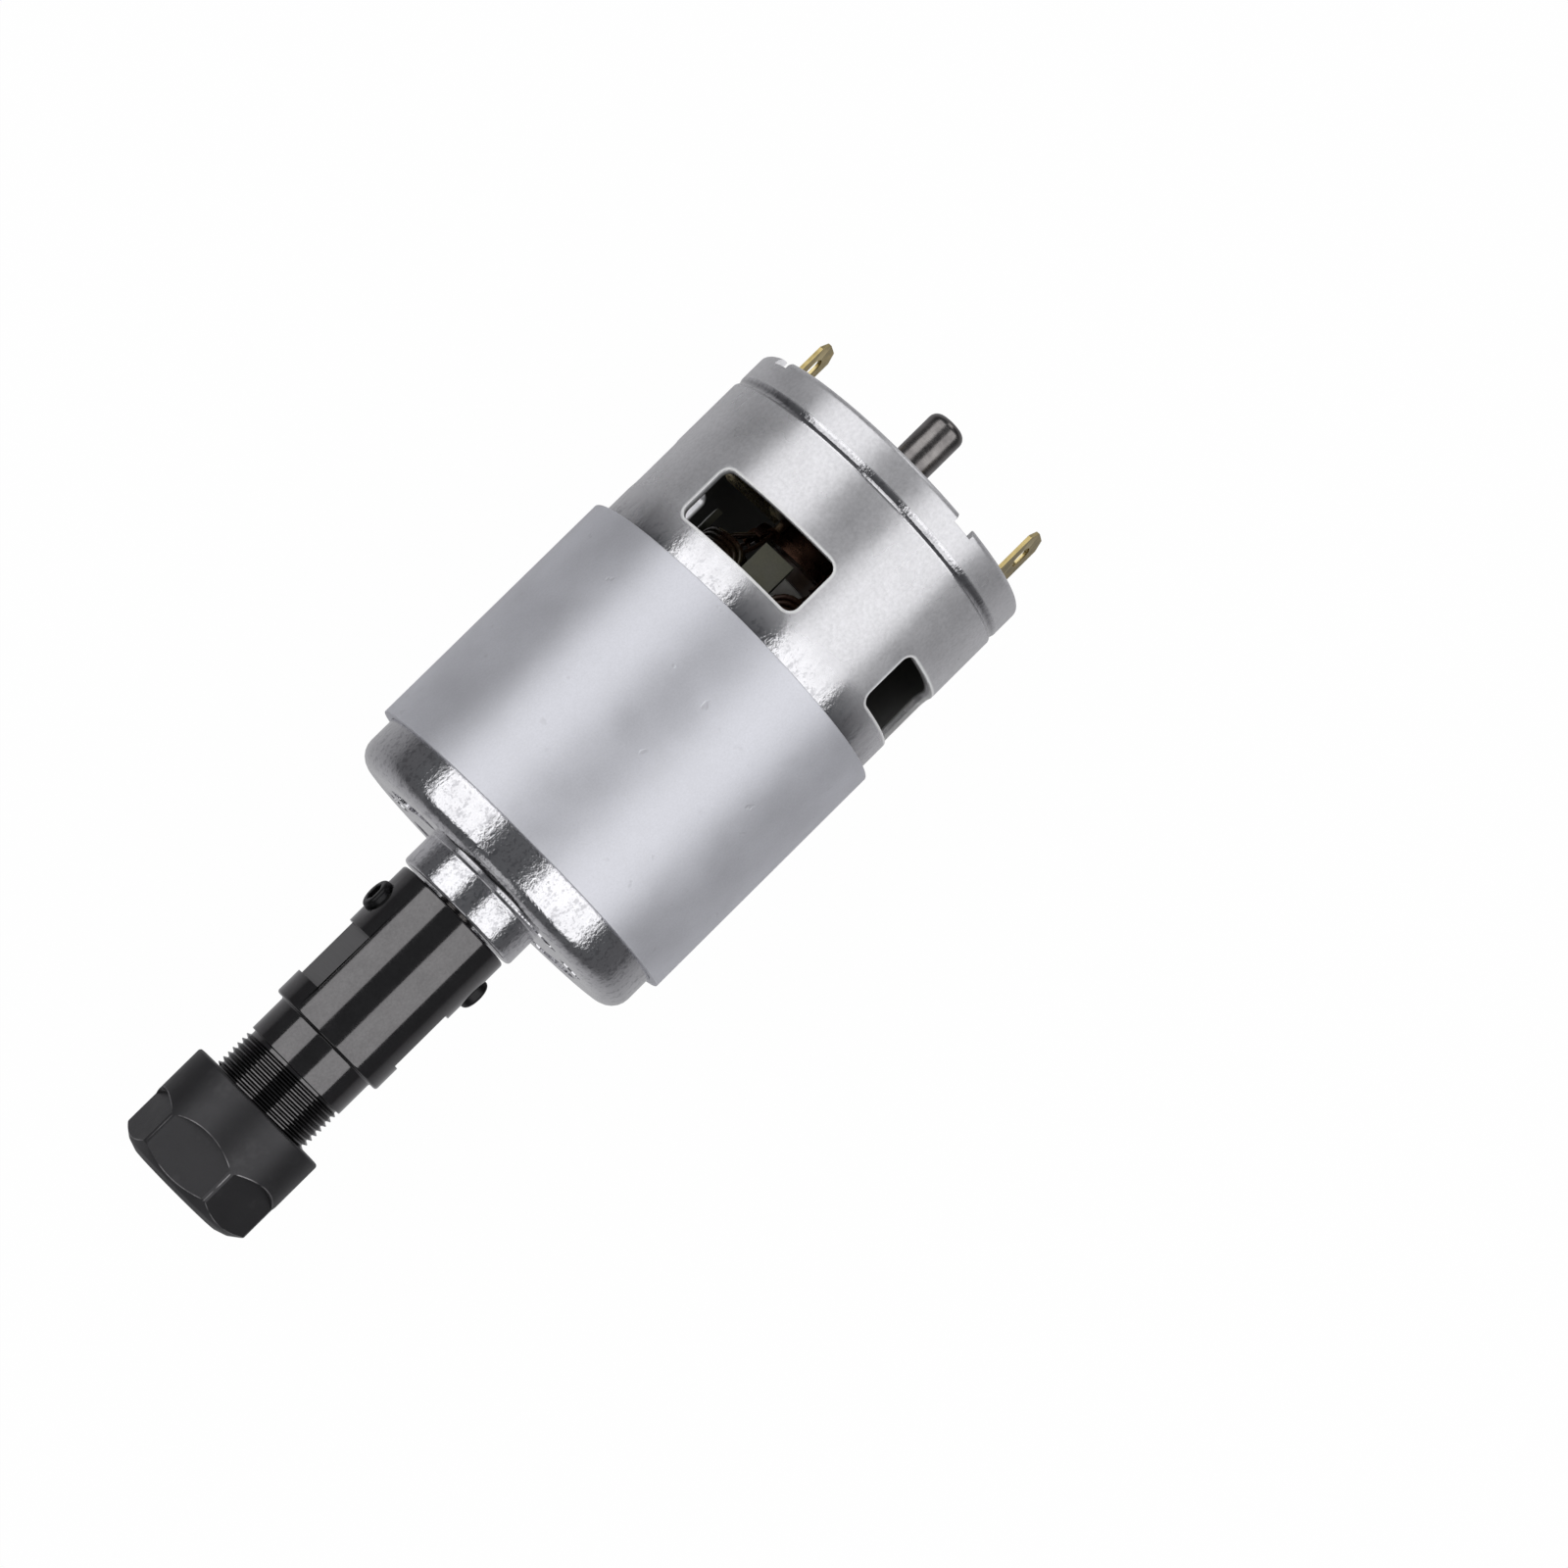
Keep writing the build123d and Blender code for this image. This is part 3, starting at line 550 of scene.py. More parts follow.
def threaded(sizes):
    """Black oxide in the thread's grooves."""
    f = Finish("threaded")
    cloud = f.noise(900)
    share = f.spread(cloud, 0.36, 0.64)
    colour = f.tint(share, shade(sizes.oxide_colour, 0.7), sizes.oxide_colour)
    return f.shader(colour, f.spread(cloud, 0.35, 0.65, 0.14, 0.22), 1.0, f.bump(cloud, 0.1, 0.01))


def nut_black(sizes):
    """Matte black oxide on the clamp nut, rubbed brighter in patches along its edges."""
    f = Finish("nut_black")
    grain = f.noise(4200, 4.0, 0.65)
    cloud = f.noise(260)
    along, radius = f.along(), f.radius()
    first, second, third = (abs(f.across(NUT_ANGLE - turn)) for turn in (120, 60, 0))
    level = first.most(second).most(third)
    # The ridges between two flats, where the share of the radius is the cosine of 30 degrees
    ridge = f.spread(level / radius, 0.8680, 0.8705, 1.0, 0.0)
    ridge = ridge * f.within(along, -43.6, -43.4) * f.beyond(radius, 9.35, 9.42)
    # The lip at a flat's run-out
    aside = radius ** 2 - level ** 2
    reach = (aside + (along + NUT_ARC_X * MM) ** 2).root() - NUT_ARC * MM
    raised = f.beyond(level, NUT_FLAT + 0.1, NUT_FLAT + 0.2)
    lip = f.within(abs(reach - 0.05 * MM), 0.05, 0.11) * raised
    # The edge between a flat and the nose's cone
    cone = NUT_RADIUS * MM + (along + 47.7 * MM) * (1.6 / 1.2)
    crown = f.within(abs(cone - radius), 0.04, 0.10)
    crown = crown * f.beyond(level, NUT_FLAT - 0.1, NUT_FLAT - 0.06)
    patch = f.spread(f.noise(330, 2.0, 0.5), 0.40, 0.58)
    wear_and_edge_highlight = ((ridge + lip + crown) * patch).clamped()
    share = (wear_and_edge_highlight * 0.8 + f.spread(cloud, 0.58, 0.8) * 0.10).clamped()
    colour = f.tint(share, sizes.nut_colour, (0.34, 0.33, 0.34))
    rough = f.spread(cloud * 0.6 + grain * 0.4, 0.35, 0.65, 0.42, 0.54)
    return f.shader(colour, rough, 0.9, f.bump(grain, 0.25, 0.03))


def brass_sheet():
    """Stamped brass, dulled in patches and brighter on its edges."""
    f = Finish("brass_sheet")
    cloud = f.noise(700, 4.0, 0.6)
    rolled = f.noise(3000, 2.0, 0.5, stretch=(0.1, 1, 1))
    colour = f.tint(f.spread(cloud, 0.38, 0.62), (0.23, 0.175, 0.06), (0.44, 0.34, 0.14))
    colour = f.tint(f.edge_wear(0.53, 0.62) * 0.6, colour, (0.90, 0.76, 0.42))
    rough = f.spread(cloud * 0.5 + rolled * 0.5, 0.35, 0.65, 0.20, 0.36)
    return f.shader(colour, rough, 1.0, f.bump(rolled, 0.2, 0.02))


def enamelled_wire():
    """Copper wire under brown enamel, with olive and red patches; the colours are partly the
    enamel's own and partly painted shade inside the can.
    """
    f = Finish("enamelled_wire")
    patch = f.noise(260, 2.0, 0.5)
    streak = f.noise(1500)
    colour = f.tint(f.spread(patch, 0.38, 0.62), (0.030, 0.022, 0.010), (0.060, 0.028, 0.018))
    colour = f.tint(f.spread(streak, 0.5, 0.8) * 0.4, colour, (0.11, 0.060, 0.032))
    rough = f.spread(streak, 0.35, 0.65, 0.22, 0.40)
    return f.shader(colour, rough, 0.35, f.bump(streak, 0.15, 0.02))


def laminated_core():
    """Stacked core sheets under a thin varnish: lines across the spindle at each sheet."""
    f = Finish("laminated_core")
    sheet = 0.5 * MM
    seam = f.spread(abs((f.along() / sheet).fraction() - 0.5), 0.36, 0.5)
    cloud = f.noise(420)
    share = (seam * 0.7 + cloud * 0.3).clamped()
    colour = f.tint(share, (0.055, 0.050, 0.045), (0.022, 0.020, 0.018))
    rough = f.spread(cloud, 0.35, 0.65, 0.35, 0.5)
    return f.shader(colour, rough, 0.7, f.bump(1 - seam, 0.4, 0.08))


def shaft_steel():
    """Ground steel darkened by heat treatment, with fine rings round the axis."""
    f = Finish("shaft_steel")
    rings = f.noise(8000, 2.0, 0.5, stretch=(1, 0.02, 0.02))
    cloud = f.noise(500)
    colour = f.tint(f.spread(cloud, 0.35, 0.65), (0.16, 0.15, 0.15), (0.28, 0.265, 0.26))
    rough = f.spread(cloud * 0.5 + rings * 0.5, 0.35, 0.65, 0.20, 0.32)
    return f.shader(colour, rough, 1.0, f.bump(rings, 0.15, 0.02))


def soft_finish(name, dark, light, rough, metallic, scale):
    """A finish that varies softly between two colours."""
    f = Finish(name)
    cloud = f.noise(scale, 3.0, 0.55)
    grain = f.noise(scale * 9, 2.0, 0.5)
    colour = f.tint(f.spread(cloud * 0.65 + grain * 0.35, 0.35, 0.65), dark, light)
    roughness = f.spread(cloud, 0.35, 0.65, rough * 0.86, rough * 1.14)
    return f.shader(colour, roughness, metallic, f.bump(grain, 0.2, 0.02))


# Each slot with a soft finish: its two colours, roughness, metallic and noise scale
SOFT_FINISHES = {
    "ferrite": ((0.030, 0.030, 0.032), (0.07, 0.07, 0.072), 0.62, 0.0, 300),
    # Partly dark steel and partly painted shade: the clips and springs inside the can are coloured
    # near black
    "spring_steel": ((0.030, 0.029, 0.030), (0.060, 0.058, 0.060), 0.34, 1.0, 500),
    "bearing_steel": ((0.56, 0.56, 0.57), (0.72, 0.72, 0.73), 0.16, 1.0, 400),
    "card_board": ((0.045, 0.024, 0.014), (0.080, 0.045, 0.024), 0.55, 0.0, 900),
    "carbon": ((0.03, 0.03, 0.032), (0.08, 0.08, 0.085), 0.45, 0.2, 1500),
    # Partly the liner's own olive and partly painted shade inside the can
    "liner": ((0.095, 0.092, 0.058), (0.14, 0.137, 0.088), 0.5, 0.0, 500),
    # Partly dark copper and partly painted shade: the risers and commutator inside the can are
    # coloured near black
    "copper": ((0.085, 0.042, 0.028), (0.15, 0.078, 0.052), 0.28, 1.0, 700),
    "hub_plastic": ((0.05, 0.03, 0.02), (0.09, 0.055, 0.035), 0.45, 0.0, 700),
    "spacer_plastic": ((0.70, 0.69, 0.64), (0.80, 0.79, 0.75), 0.4, 0.0, 500),
    "screw_black": ((0.006, 0.006, 0.007), (0.018, 0.018, 0.020), 0.34, 0.5, 1200),
    "collet_steel": ((0.45, 0.45, 0.46), (0.62, 0.62, 0.63), 0.24, 1.0, 700),
}


def make_finishes(motor, holder):
    """Each record slot with its material, and the thread's."""
    finishes = {slot: soft_finish(slot, *look) for slot, look in SOFT_FINISHES.items()}
    finishes.update({
        "can_plating": plated_steel(motor),
        "ring_plating": zinc_sheet(motor),
        "brass": brass_sheet(),
        "shaft_steel": shaft_steel(),
        "core_steel": laminated_core(),
        "enamelled_copper": enamelled_wire(),
        "black_oxide": black_oxide(holder),
        "threaded": threaded(holder),
        "nut_black": nut_black(holder),
    })
    return finishes


FINISHES = {}


# ---------------- sizes


def number(name, description, value, **more):
    return bpy.props.FloatProperty(name=name, description=description, default=value, **more)


def length(name, description, millimetres):
    return number(name, description, millimetres * MM, min=0.0, unit="LENGTH", precision=5)


def count(name, description, value):
    return bpy.props.IntProperty(name=name, description=description, default=value, min=2)


def vector(name, description, value, **more):
    return bpy.props.FloatVectorProperty(
        name=name, description=description, default=value, size=3, **more,
    )


def point(name, description, value):
    return vector(name, description, value, subtype="XYZ", unit="LENGTH")


def colour(name, description, value):
    return vector(name, description, value, min=0.0, max=1.0, subtype="COLOR")


class SpindleMotor(bpy.types.PropertyGroup):
    """The can, the flux ring and the terminals."""

    can_bend: length("Can bend", "Outer bend between the can's face and its side", 2.6)
    window_edge: length("Window edge", "Rounding of the window edges", 0.25)
    window_corner: length("Window corner", "Corner radius of the cooling windows", 1.3)
    rim_step: length("Rim step", "Drop from the can's side to its crimped rim", 0.12)
    ring_edge: length("Ring edge", "Rounding of the flux ring's outer edges", 0.10)
    tab_clip: length("Tab clip", "Clipped corner of the terminal tabs", 1.2)
    can_colour: colour("Can colour", "Plating of the can", (0.78, 0.775, 0.80))
    ring_colour: colour("Ring colour", "Plating of the flux ring", (0.78, 0.785, 0.84))


class SpindleHolder(bpy.types.PropertyGroup):
    """The collet holder, its screws and the clamp nut."""

    thread_pitch: length("Thread pitch", "Pitch of the nose thread", 0.75)
    thread_crest: length("Thread crest", "Outer radius of the nose thread", 6.98)
    holder_edge: length("Holder edge", "Rounding of the holder's edges", 0.10)
    nut_edge: length("Nut edge", "Rounding of the nut's flats", 0.12)
    screw_dome: length("Screw dome", "Rounding of the set screws' outer end", 0.5)
    oxide_colour: colour("Holder colour", "Black oxide of the holder", (0.115, 0.112, 0.114))
    nut_colour: colour("Nut colour", "Black oxide of the nut", (0.060, 0.059, 0.062))


class SpindleArmature(bpy.types.PropertyGroup):
    """The wound coils behind the windows and the brush springs."""

    wire: length("Wire", "Radius of the winding wire", 0.36)
    arches: count("Arches", "Nested wires of one coil end", 9)
    rows: count("Rows", "Wires of one coil end towards the shaft", 7)
    spring_wire: length("Spring wire", "Radius of the brush spring's wire", 0.22)
    spring_turns: number("Spring turns", "Turns of a brush spring", 5.0)


class SpindleStage(bpy.types.PropertyGroup):
    """The floor, the lamps and the camera."""

    floor_size: length("Floor size", "Side of the square floor", 4000)
    lamp_level: number("Lamp level", "Brightness of the two side boxes, where 1 is white", 1.3)
    room_level: number("Room level", "Brightness of the room round the object", 0.12)
    focal_length: number("Focal length", "Lens of the camera on a 36 mm sensor", 111.60)
    eye: point("Camera place", "Where the camera stands", (-0.0290, 0.0113, 0.5600))
    target: point("Target", "The point in the picture's middle", (0.03309, -0.01606, 0.0))
    slant: number(
        "Spindle's slant", "Angle of the spindle in the picture, from level",
        math.radians(44.742), subtype="ANGLE",
    )


# ---------------- operators


class SPINDLE_OT_finishes(bpy.types.Operator):
    """Gives every node of the model the finish of its material slot."""

    bl_idname = "spindle.finishes"
    bl_label = "Finishes"

    def execute(self, context):
        scene = context.scene
        FINISHES.update(make_finishes(scene.spindle_motor, scene.spindle_holder))
        for part in frame["record"]["subparts"]:
            node = frame["nodes"][part["node"]]
            node.data.materials.clear()
            node.data.materials.append(FINISHES[part["material_slot"]])
        return {"FINISHED"}


class SPINDLE_OT_can(bpy.types.Operator):
    """Draws the can with its boss, windows, vents, crimped rim and notches."""

    bl_idname = "spindle.can"
    bl_label = "Motor can"

    def execute(self, context):
        sizes = context.scene.spindle_motor
        bend = sizes.can_bend / MM
        rim = CAN_RADIUS - sizes.rim_step / MM
        # The extra corners along the side keep the faces round the windows small
        outline = rounded([
            (-4.45, 5.2, 0.12), (-4.45, 8.5, 0.45), (0, 8.5, 0.35), (0, CAN_RADIUS, bend),
            *((x, CAN_RADIUS, 0) for x in (30.0, 43.4, 43.9, 48.35, 52.8, 53.3)),
            (61.55, CAN_RADIUS, 0.3), (GROOVE_X, rim - 0.22, 0.5), (62.75, rim, 0.4),
            (CAN_END, rim, 0.8), (CAN_END, 19.75, 0.1), (65.64, 19.75, 0),
            (65.14, 20.25, 0), (63.3, 20.25, 0), (63.3, CAN_INNER, 0),
            (1.3, CAN_INNER, bend - 1.3), (1.3, 7.02, 0), (-3.45, 7.02, 0), (-3.45, 5.2, 0),
        ])
        cutters = []
        window = plate(WINDOW_LENGTH, WINDOW_WIDTH, sizes.window_corner / MM, 8)
        notch = [(-1.1, -1.5), (2.0, -1.5), (2.0, 1.5), (-1.1, 1.5)]
        for copy in range(4):
            angle = WINDOW_ANGLE + 90 * copy
            cutters.append(prism(window, 9.0, 30.0, facing(angle, WINDOW_MIDDLE)))
            cutters.append(prism(notch, 15.0, 25.0, facing(angle + 45, CAN_END)))
            cutters.append(self.vent(angle + 45))
        for _, angle in BRUSHES:
            hole = circle(BOLT_HOLE, 32, *polar(BOLT_CIRCLE, angle))
            cutters.append(prism(hole, -2.0, 4.5))
        work = carved(turned(outline, 160), cutters)
        edge = sizes.window_edge / MM
        soften(work, edge, 30, lambda spot, radius: 44 < spot.x < 53 and radius > 20.85)
        soften(work, 0.12, 40, lambda spot, radius: abs(spot.x) < 0.02 and 10 < radius < 17)
        soften(work, 0.08, 40, lambda spot, radius: spot.x > 65.4 and radius > rim - 0.2)
        piece = shown("can_shell", work, "motor", "can_plating")
        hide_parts("motor_can")
        return {"FINISHED"}

    def vent(self, middle):
        """A kidney vent through the front face."""
        half_angle, half_width = 17, 1.7
        outline = []
        for side, radius in ((1, 15.3), (-1, 11.9)):
            for step in range(13):
                angle = middle + side * (-half_angle + 2 * half_angle * step / 12)
                outline.append(polar(radius, angle))
            y, z = polar(13.6, middle + side * half_angle)
            start = math.atan2(outline[-1][1] - z, outline[-1][0] - y)
            for step in range(1, 8):
                turn = start + math.pi * step / 8
                outline.append((y + half_width * math.cos(turn), z + half_width * math.sin(turn)))
        return prism(outline, -2.0, 3.0)


class SPINDLE_OT_flux_ring(bpy.types.Operator):
    """Rolls the flux ring round the can, with its open butt seam."""

    bl_idname = "spindle.flux_ring"
    bl_label = "Flux ring"

    def execute(self, context):
        edge = context.scene.spindle_motor.ring_edge / MM
        front, rear, inner, outer = 5.95, 40.1, 21.03, 22.25
        outline = rounded([
            (front, inner, 0.08), (front, outer, edge), (rear, outer, edge), (rear, inner, 0.08),
        ])
        seam_angle, half_gap, middle_radius = 240, 0.25, 21.6
        seam = math.degrees(half_gap / middle_radius)
        work = turned(outline, 200, seam_angle + seam, 360 - 2 * seam)
        piece = shown("flux_band", work, "motor", "ring_plating")
        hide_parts("flux_ring")
        return {"FINISHED"}


class SPINDLE_OT_rear_cover(bpy.types.Operator):
    """Stamps the rear cover with its bearing boss, vents and terminal openings."""

    bl_idname = "spindle.rear_cover"
    bl_label = "Rear cover"

    def execute(self, context):
        outline = rounded([
            (63.3, 20.2, 0.1), (COVER_FACE, 20.2, 0.2), (COVER_FACE, 8.22, 0.5),
            (67.9, 8.22, 0.6), (67.9, 5.2, 0.2), (67.4, 5.2, 0), (67.4, 7.02, 0),
            (63.3, 7.02, 0),
        ])
        cutters = []
        for _, angle in BRUSHES:
            y, z = polar(TAB_CIRCLE, angle)
            turn = math.radians(angle + 90)
            opening = [(
                y + a * math.cos(turn) - b * math.sin(turn),
                z + a * math.sin(turn) + b * math.cos(turn),
            ) for a, b in plate(3.12, 1.22, 0.3)]
            cutters.append(prism(opening, 60.0, 67.0))
        # The round vents lie in line with the crimp notches
        for copy in range(4):
            vent = circle(1.6, 24, *polar(13.0, WINDOW_ANGLE + 45 + 90 * copy))
            cutters.append(prism(vent, 60.0, 67.0))
        work = carved(turned(outline, 128), cutters)
        soften(work, 0.15, 40, lambda spot, radius: (
            abs(spot.x - COVER_FACE) < 0.02 and 9 < radius < 19.5
        ))
        piece = shown("rear_plate", work, "motor", "can_plating")
        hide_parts("rear_cover")
        return {"FINISHED"}


class SPINDLE_OT_terminals(bpy.types.Operator):
    """Stamps the two brass tabs, each bent to a foot under its brush box."""

    bl_idname = "spindle.terminals"
    bl_label = "Terminals"

    def execute(self, context):
        clip = context.scene.spindle_motor.tab_clip / MM
        strip = rounded([
            (60.4, 12.6, 0.05), (60.9, 12.6, 0.05), (60.9, 16.95, 0.15), (TAB_END, 16.95, 0),
            (TAB_END, 17.45, 0), (60.4, 17.45, 0.6),
        ], 5)
        start = TAB_END - clip
        corner = [(start, 15.0), (76.0, 15.0), (76.0, 19.0), (start, 19.0)]
        for side, angle in BRUSHES:
            matrix = upright(angle)
            cutters = [
                prism(corner, low, high, matrix @ self.skew(start, way))
                for way, low, high in ((1, TAB_HALF, 5.0), (-1, -5.0, -TAB_HALF))
            ]
            eye = plate(1.4, 0.9, 0.88, 8)
            cutters.append(prism(eye, 15.0, 19.0, facing(angle, 70.6)))
            work = carved(prism(strip, -TAB_HALF, TAB_HALF, matrix), cutters)
            soften(work, 0.09, 35, lambda spot, radius: spot.x > 61.2, 2)
            piece = shown(f"brass_tab_{side}", work, "motor", "brass")
            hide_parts(f"terminal_{side}")
        return {"FINISHED"}

    def skew(self, start, way):
        """Slants a cutter so that it clips a corner of the tab."""
        bend = Matrix.Identity(4)
        bend[0][1] = -way
        return Matrix.Translation((way * start * MM, 0, 0)) @ bend


class SPINDLE_OT_windings(bpy.types.Operator):
    """Winds the coil ends of the armature, with the wire tails to the commutator."""

    bl_idname = "spindle.windings"
    bl_label = "Windings"

    def execute(self, context):
        sizes = context.scene.spindle_armature
        work = bmesh.new()
        chance = random.Random(11)
        for middle in TEETH:
            self.coil_end(work, sizes, middle, CORE_REAR, 8.0, 1, chance)
            self.coil_end(work, sizes, middle, CORE_FRONT, 6.0, -1, chance)
            self.tail(work, middle, chance)
            for low, high in ((CORE_REAR, 46.6), (4.9, CORE_FRONT)):
                core = [(low, 6.5, 0), (high, 6.5, 0.8), (high, 11.3, 1.2), (low, 11.3, 0)]
                join(work, turned(rounded(core), 12, middle - 23, 46))
        piece = shown("wound_coils", work, "rotor", "enamelled_copper", 60)
        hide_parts("windings")
        return {"FINISHED"}

    def coil_end(self, work, sizes, middle, base, height, way, chance):
        """One lobe of wires that arch over a tooth, nested from the outside in."""
        wire = sizes.wire / MM
        pitch = 2 * wire
        outermost, half_span, squareness = 11.82, 24.5, 0.55
        for row in range(sizes.rows):
            radius = outermost - row * pitch * 0.94
            arches = sizes.arches if row < 2 else 2
            for nest in range(arches):
                rise = height - wire - nest * pitch * 0.93 - 0.03 * row * row
                span = half_span - math.degrees(nest * pitch * 0.62 / radius)
                if rise < 0.8 or span < 4:
                    continue
                lean = chance.uniform(-0.5, 0.5)
                path = []
                for step in range(17):
                    turn = math.pi * step / 16
                    across = math.copysign(abs(math.cos(turn)) ** squareness, math.cos(turn))
                    up = math.sin(turn) ** squareness
                    sink = 0.5 * (1 - up)
                    path.append(spin(
                        base + way * rise * up, radius - sink, middle + lean - span * across,
                    ))
                tube(work, path, wire, False)

    def tail(self, work, middle, chance):
        """A wire tail that leaves the coils, runs to its riser and loops round it."""
        lean = chance.uniform(-3, 3)
        path = [spin(x, radius, middle + turn) for x, radius, turn in (
            (46.8, 10.6, -12), (48.3, 10.2, -11 + lean), (49.6, 9.2, -6 + lean),
            (50.6, 8.35, -2), (51.4, 7.85, 0), (52.1, 7.7, 3), (51.6, 7.75, 6),
            (50.4, 8.4, 9), (49.0, 9.4, 12 + lean), (47.8, 10.3, 14), (46.8, 10.6, 14),
        )]
        curve = bpy.data.curves.new("tail", "CURVE")
        curve.dimensions = "3D"
        spline = curve.splines.new("NURBS")
        spline.points.add(len(path) - 1)
        for point, place in zip(spline.points, path):
            point.co = (*place, 1.0)
        spline.order_u = 4
        spline.use_endpoint_u = True
        spline.resolution_u = 4
        holder = bpy.data.objects.new("tail", curve)
        mesh = bpy.data.meshes.new_from_object(holder)
        tube(work, [vertex.co.copy() for vertex in mesh.vertices], 0.26)
        bpy.data.meshes.remove(mesh)
        bpy.data.objects.remove(holder)
        bpy.data.curves.remove(curve)


class SPINDLE_OT_riser_hooks(bpy.types.Operator):
    """Bends a copper hook over the wire tail at each commutator riser."""

    bl_idname = "spindle.riser_hooks"
    bl_label = "Riser hooks"

    def execute(self, context):
        work = bmesh.new()
        strip = rounded([
            (52.45, 6.2, 0), (52.45, 8.75, 0.9), (50.3, 8.75, 0.5), (49.9, 7.5, 0.1),
            (50.35, 7.4, 0.1), (50.6, 8.25, 0.2), (52.0, 8.25, 0.3), (52.0, 6.2, 0),
        ], 4)
        for middle in TEETH:
            join(work, prism(strip, -0.8, 0.8, upright(middle)))
        shown("riser_hooks", work, "rotor", "copper")
        return {"FINISHED"}


class SPINDLE_OT_brush_springs(bpy.types.Operator):
    """Coils the two springs that push the brushes on the commutator."""

    bl_idname = "spindle.brush_springs"
    bl_label = "Brush springs"

    def execute(self, context):
        sizes = context.scene.spindle_armature
        wire = sizes.spring_wire / MM
        low, high, middle_x, coil_radius = 11.48, 15.07, 57.4, 1.45
        around = 20
        steps = int(sizes.spring_turns * around)
        for side, angle in BRUSHES:
            matrix = facing(angle, middle_x)
            path = []
            for step in range(steps + 1):
                turn = 2 * math.pi * step / around
                # The end turns lie flat, and the turns between them climb
                climb = max(0.0, min(1.0, (step / steps - 0.16) / 0.68))
                place = low + wire + (high - low - 2 * wire) * climb
                across, up = coil_radius * math.cos(turn), coil_radius * math.sin(turn)
                path.append(matrix @ (Vector((place, across, up)) * MM))
            work = bmesh.new()
            tube(work, path, wire)
            piece = shown(f"coil_spring_{side}", work, "motor", "spring_steel", 60)
            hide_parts(f"brush_spring_{side}")
        return {"FINISHED"}


class SPINDLE_OT_holder(bpy.types.Operator):
    """Turns the collet holder with its taper, spanner flats, screw holes and nose thread."""

    bl_idname = "spindle.holder"
    bl_label = "Collet holder"

    def execute(self, context):
        sizes = context.scene.spindle_holder
        outline = rounded([
            (-4.8, 2.52, 0.15), (-4.8, HOLDER_RADIUS, 0.35), (-25.3, HOLDER_RADIUS, 0.35),
            (-25.3, NOSE_RADIUS, 0.25), (-30.2, NOSE_RADIUS, 0.12), (-30.2, 6.54, 0.1),
            (-43.4, 6.54, 0.4), (-43.4, 5.54, 0.15), (-30.0, 3.657, 0), (-30.0, 3.3, 0),
            (-27.0, 3.3, 0), (-27.0, 0, 0), (-21.65, 0, 0), (-20.65, 2.52, 0),
        ], 4)
        cutters = []
        for angle in (FLATS_ANGLE, FLATS_ANGLE + 180):
            flat = plate(FLATS_LENGTH, 12)
            cutters.append(prism(flat, FLATS_LEVEL, 12.0, facing(angle, FLATS_MIDDLE)))
            hole = circle(SCREW_RADIUS + 0.03, 40)
            cutters.append(prism(hole, 0.0, 12.0, facing(angle, SCREW_X)))
        work = carved(turned(outline, 160), cutters)
        edge = sizes.holder_edge / MM
        soften(work, edge, 25, lambda spot, radius: -22 < spot.x < -7 and radius > 6.4, 2)
        piece = shown("holder_body", work, "rotor", "black_oxide")
        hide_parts("collet_holder")
        self.thread(sizes)
        return {"FINISHED"}

    def thread(self, sizes):
        """The ridges of the nose thread, wound from the nose to the neck."""
        pitch, crest = sizes.thread_pitch / MM, sizes.thread_crest / MM
        root, start, end = 6.44, -43.1, -30.45
        foot, tip = 0.36, 0.05
        around = 60
        run_out = around * 0.4
        steps = int((end - start) / pitch * around)
        work = bmesh.new()
        rings = []
        for step in range(steps + 1):
            angle = 360 * step / around
            x = start + pitch * step / around
            rise = min(1.0, step / run_out, (steps - step) / run_out)
            top = root + (crest - root) * max(rise, 0.02)
            section = [(x - foot, root), (x - tip, top), (x + tip, top), (x + foot, root)]
            rings.append([work.verts.new(spin(a, r, angle)) for a, r in section])
        skin(work, rings)
        work.faces.new(rings[0])
        work.faces.new(reversed(rings[-1]))
        shown("nose_thread", work, "rotor", "black_oxide", 25, "threaded")


class SPINDLE_OT_set_screws(bpy.types.Operator):
    """Makes the two hexagon socket set screws of the holder."""

    bl_idname = "spindle.set_screws"
    bl_label = "Set screws"

    def execute(self, context):
        dome = context.scene.spindle_holder.screw_dome / MM
        work = bmesh.new()
        for angle, reach in ((FLATS_ANGLE, 8.72), (FLATS_ANGLE + 180, 8.95)):
            outline = rounded([
                (2.55, 0, 0), (2.55, 1.5, 0), (3.05, SCREW_RADIUS, 0),
                (reach, SCREW_RADIUS, dome), (reach, 0, 0),
            ])
            socket = prism(circle(1.155, 6), reach - 2.0, reach + 2.0)
            screw = carved(turned(outline, 48), [socket])
            soften(screw, 0.1, 50, lambda spot, radius: (
                abs(spot.x - reach) < 0.02 and radius < 1.3
            ), 1)
            bmesh.ops.transform(screw, matrix=facing(angle, SCREW_X), verts=screw.verts)
            join(work, screw)
        piece = shown("socket_screws", work, "rotor", "screw_black")
        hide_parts("set_screws")
        return {"FINISHED"}


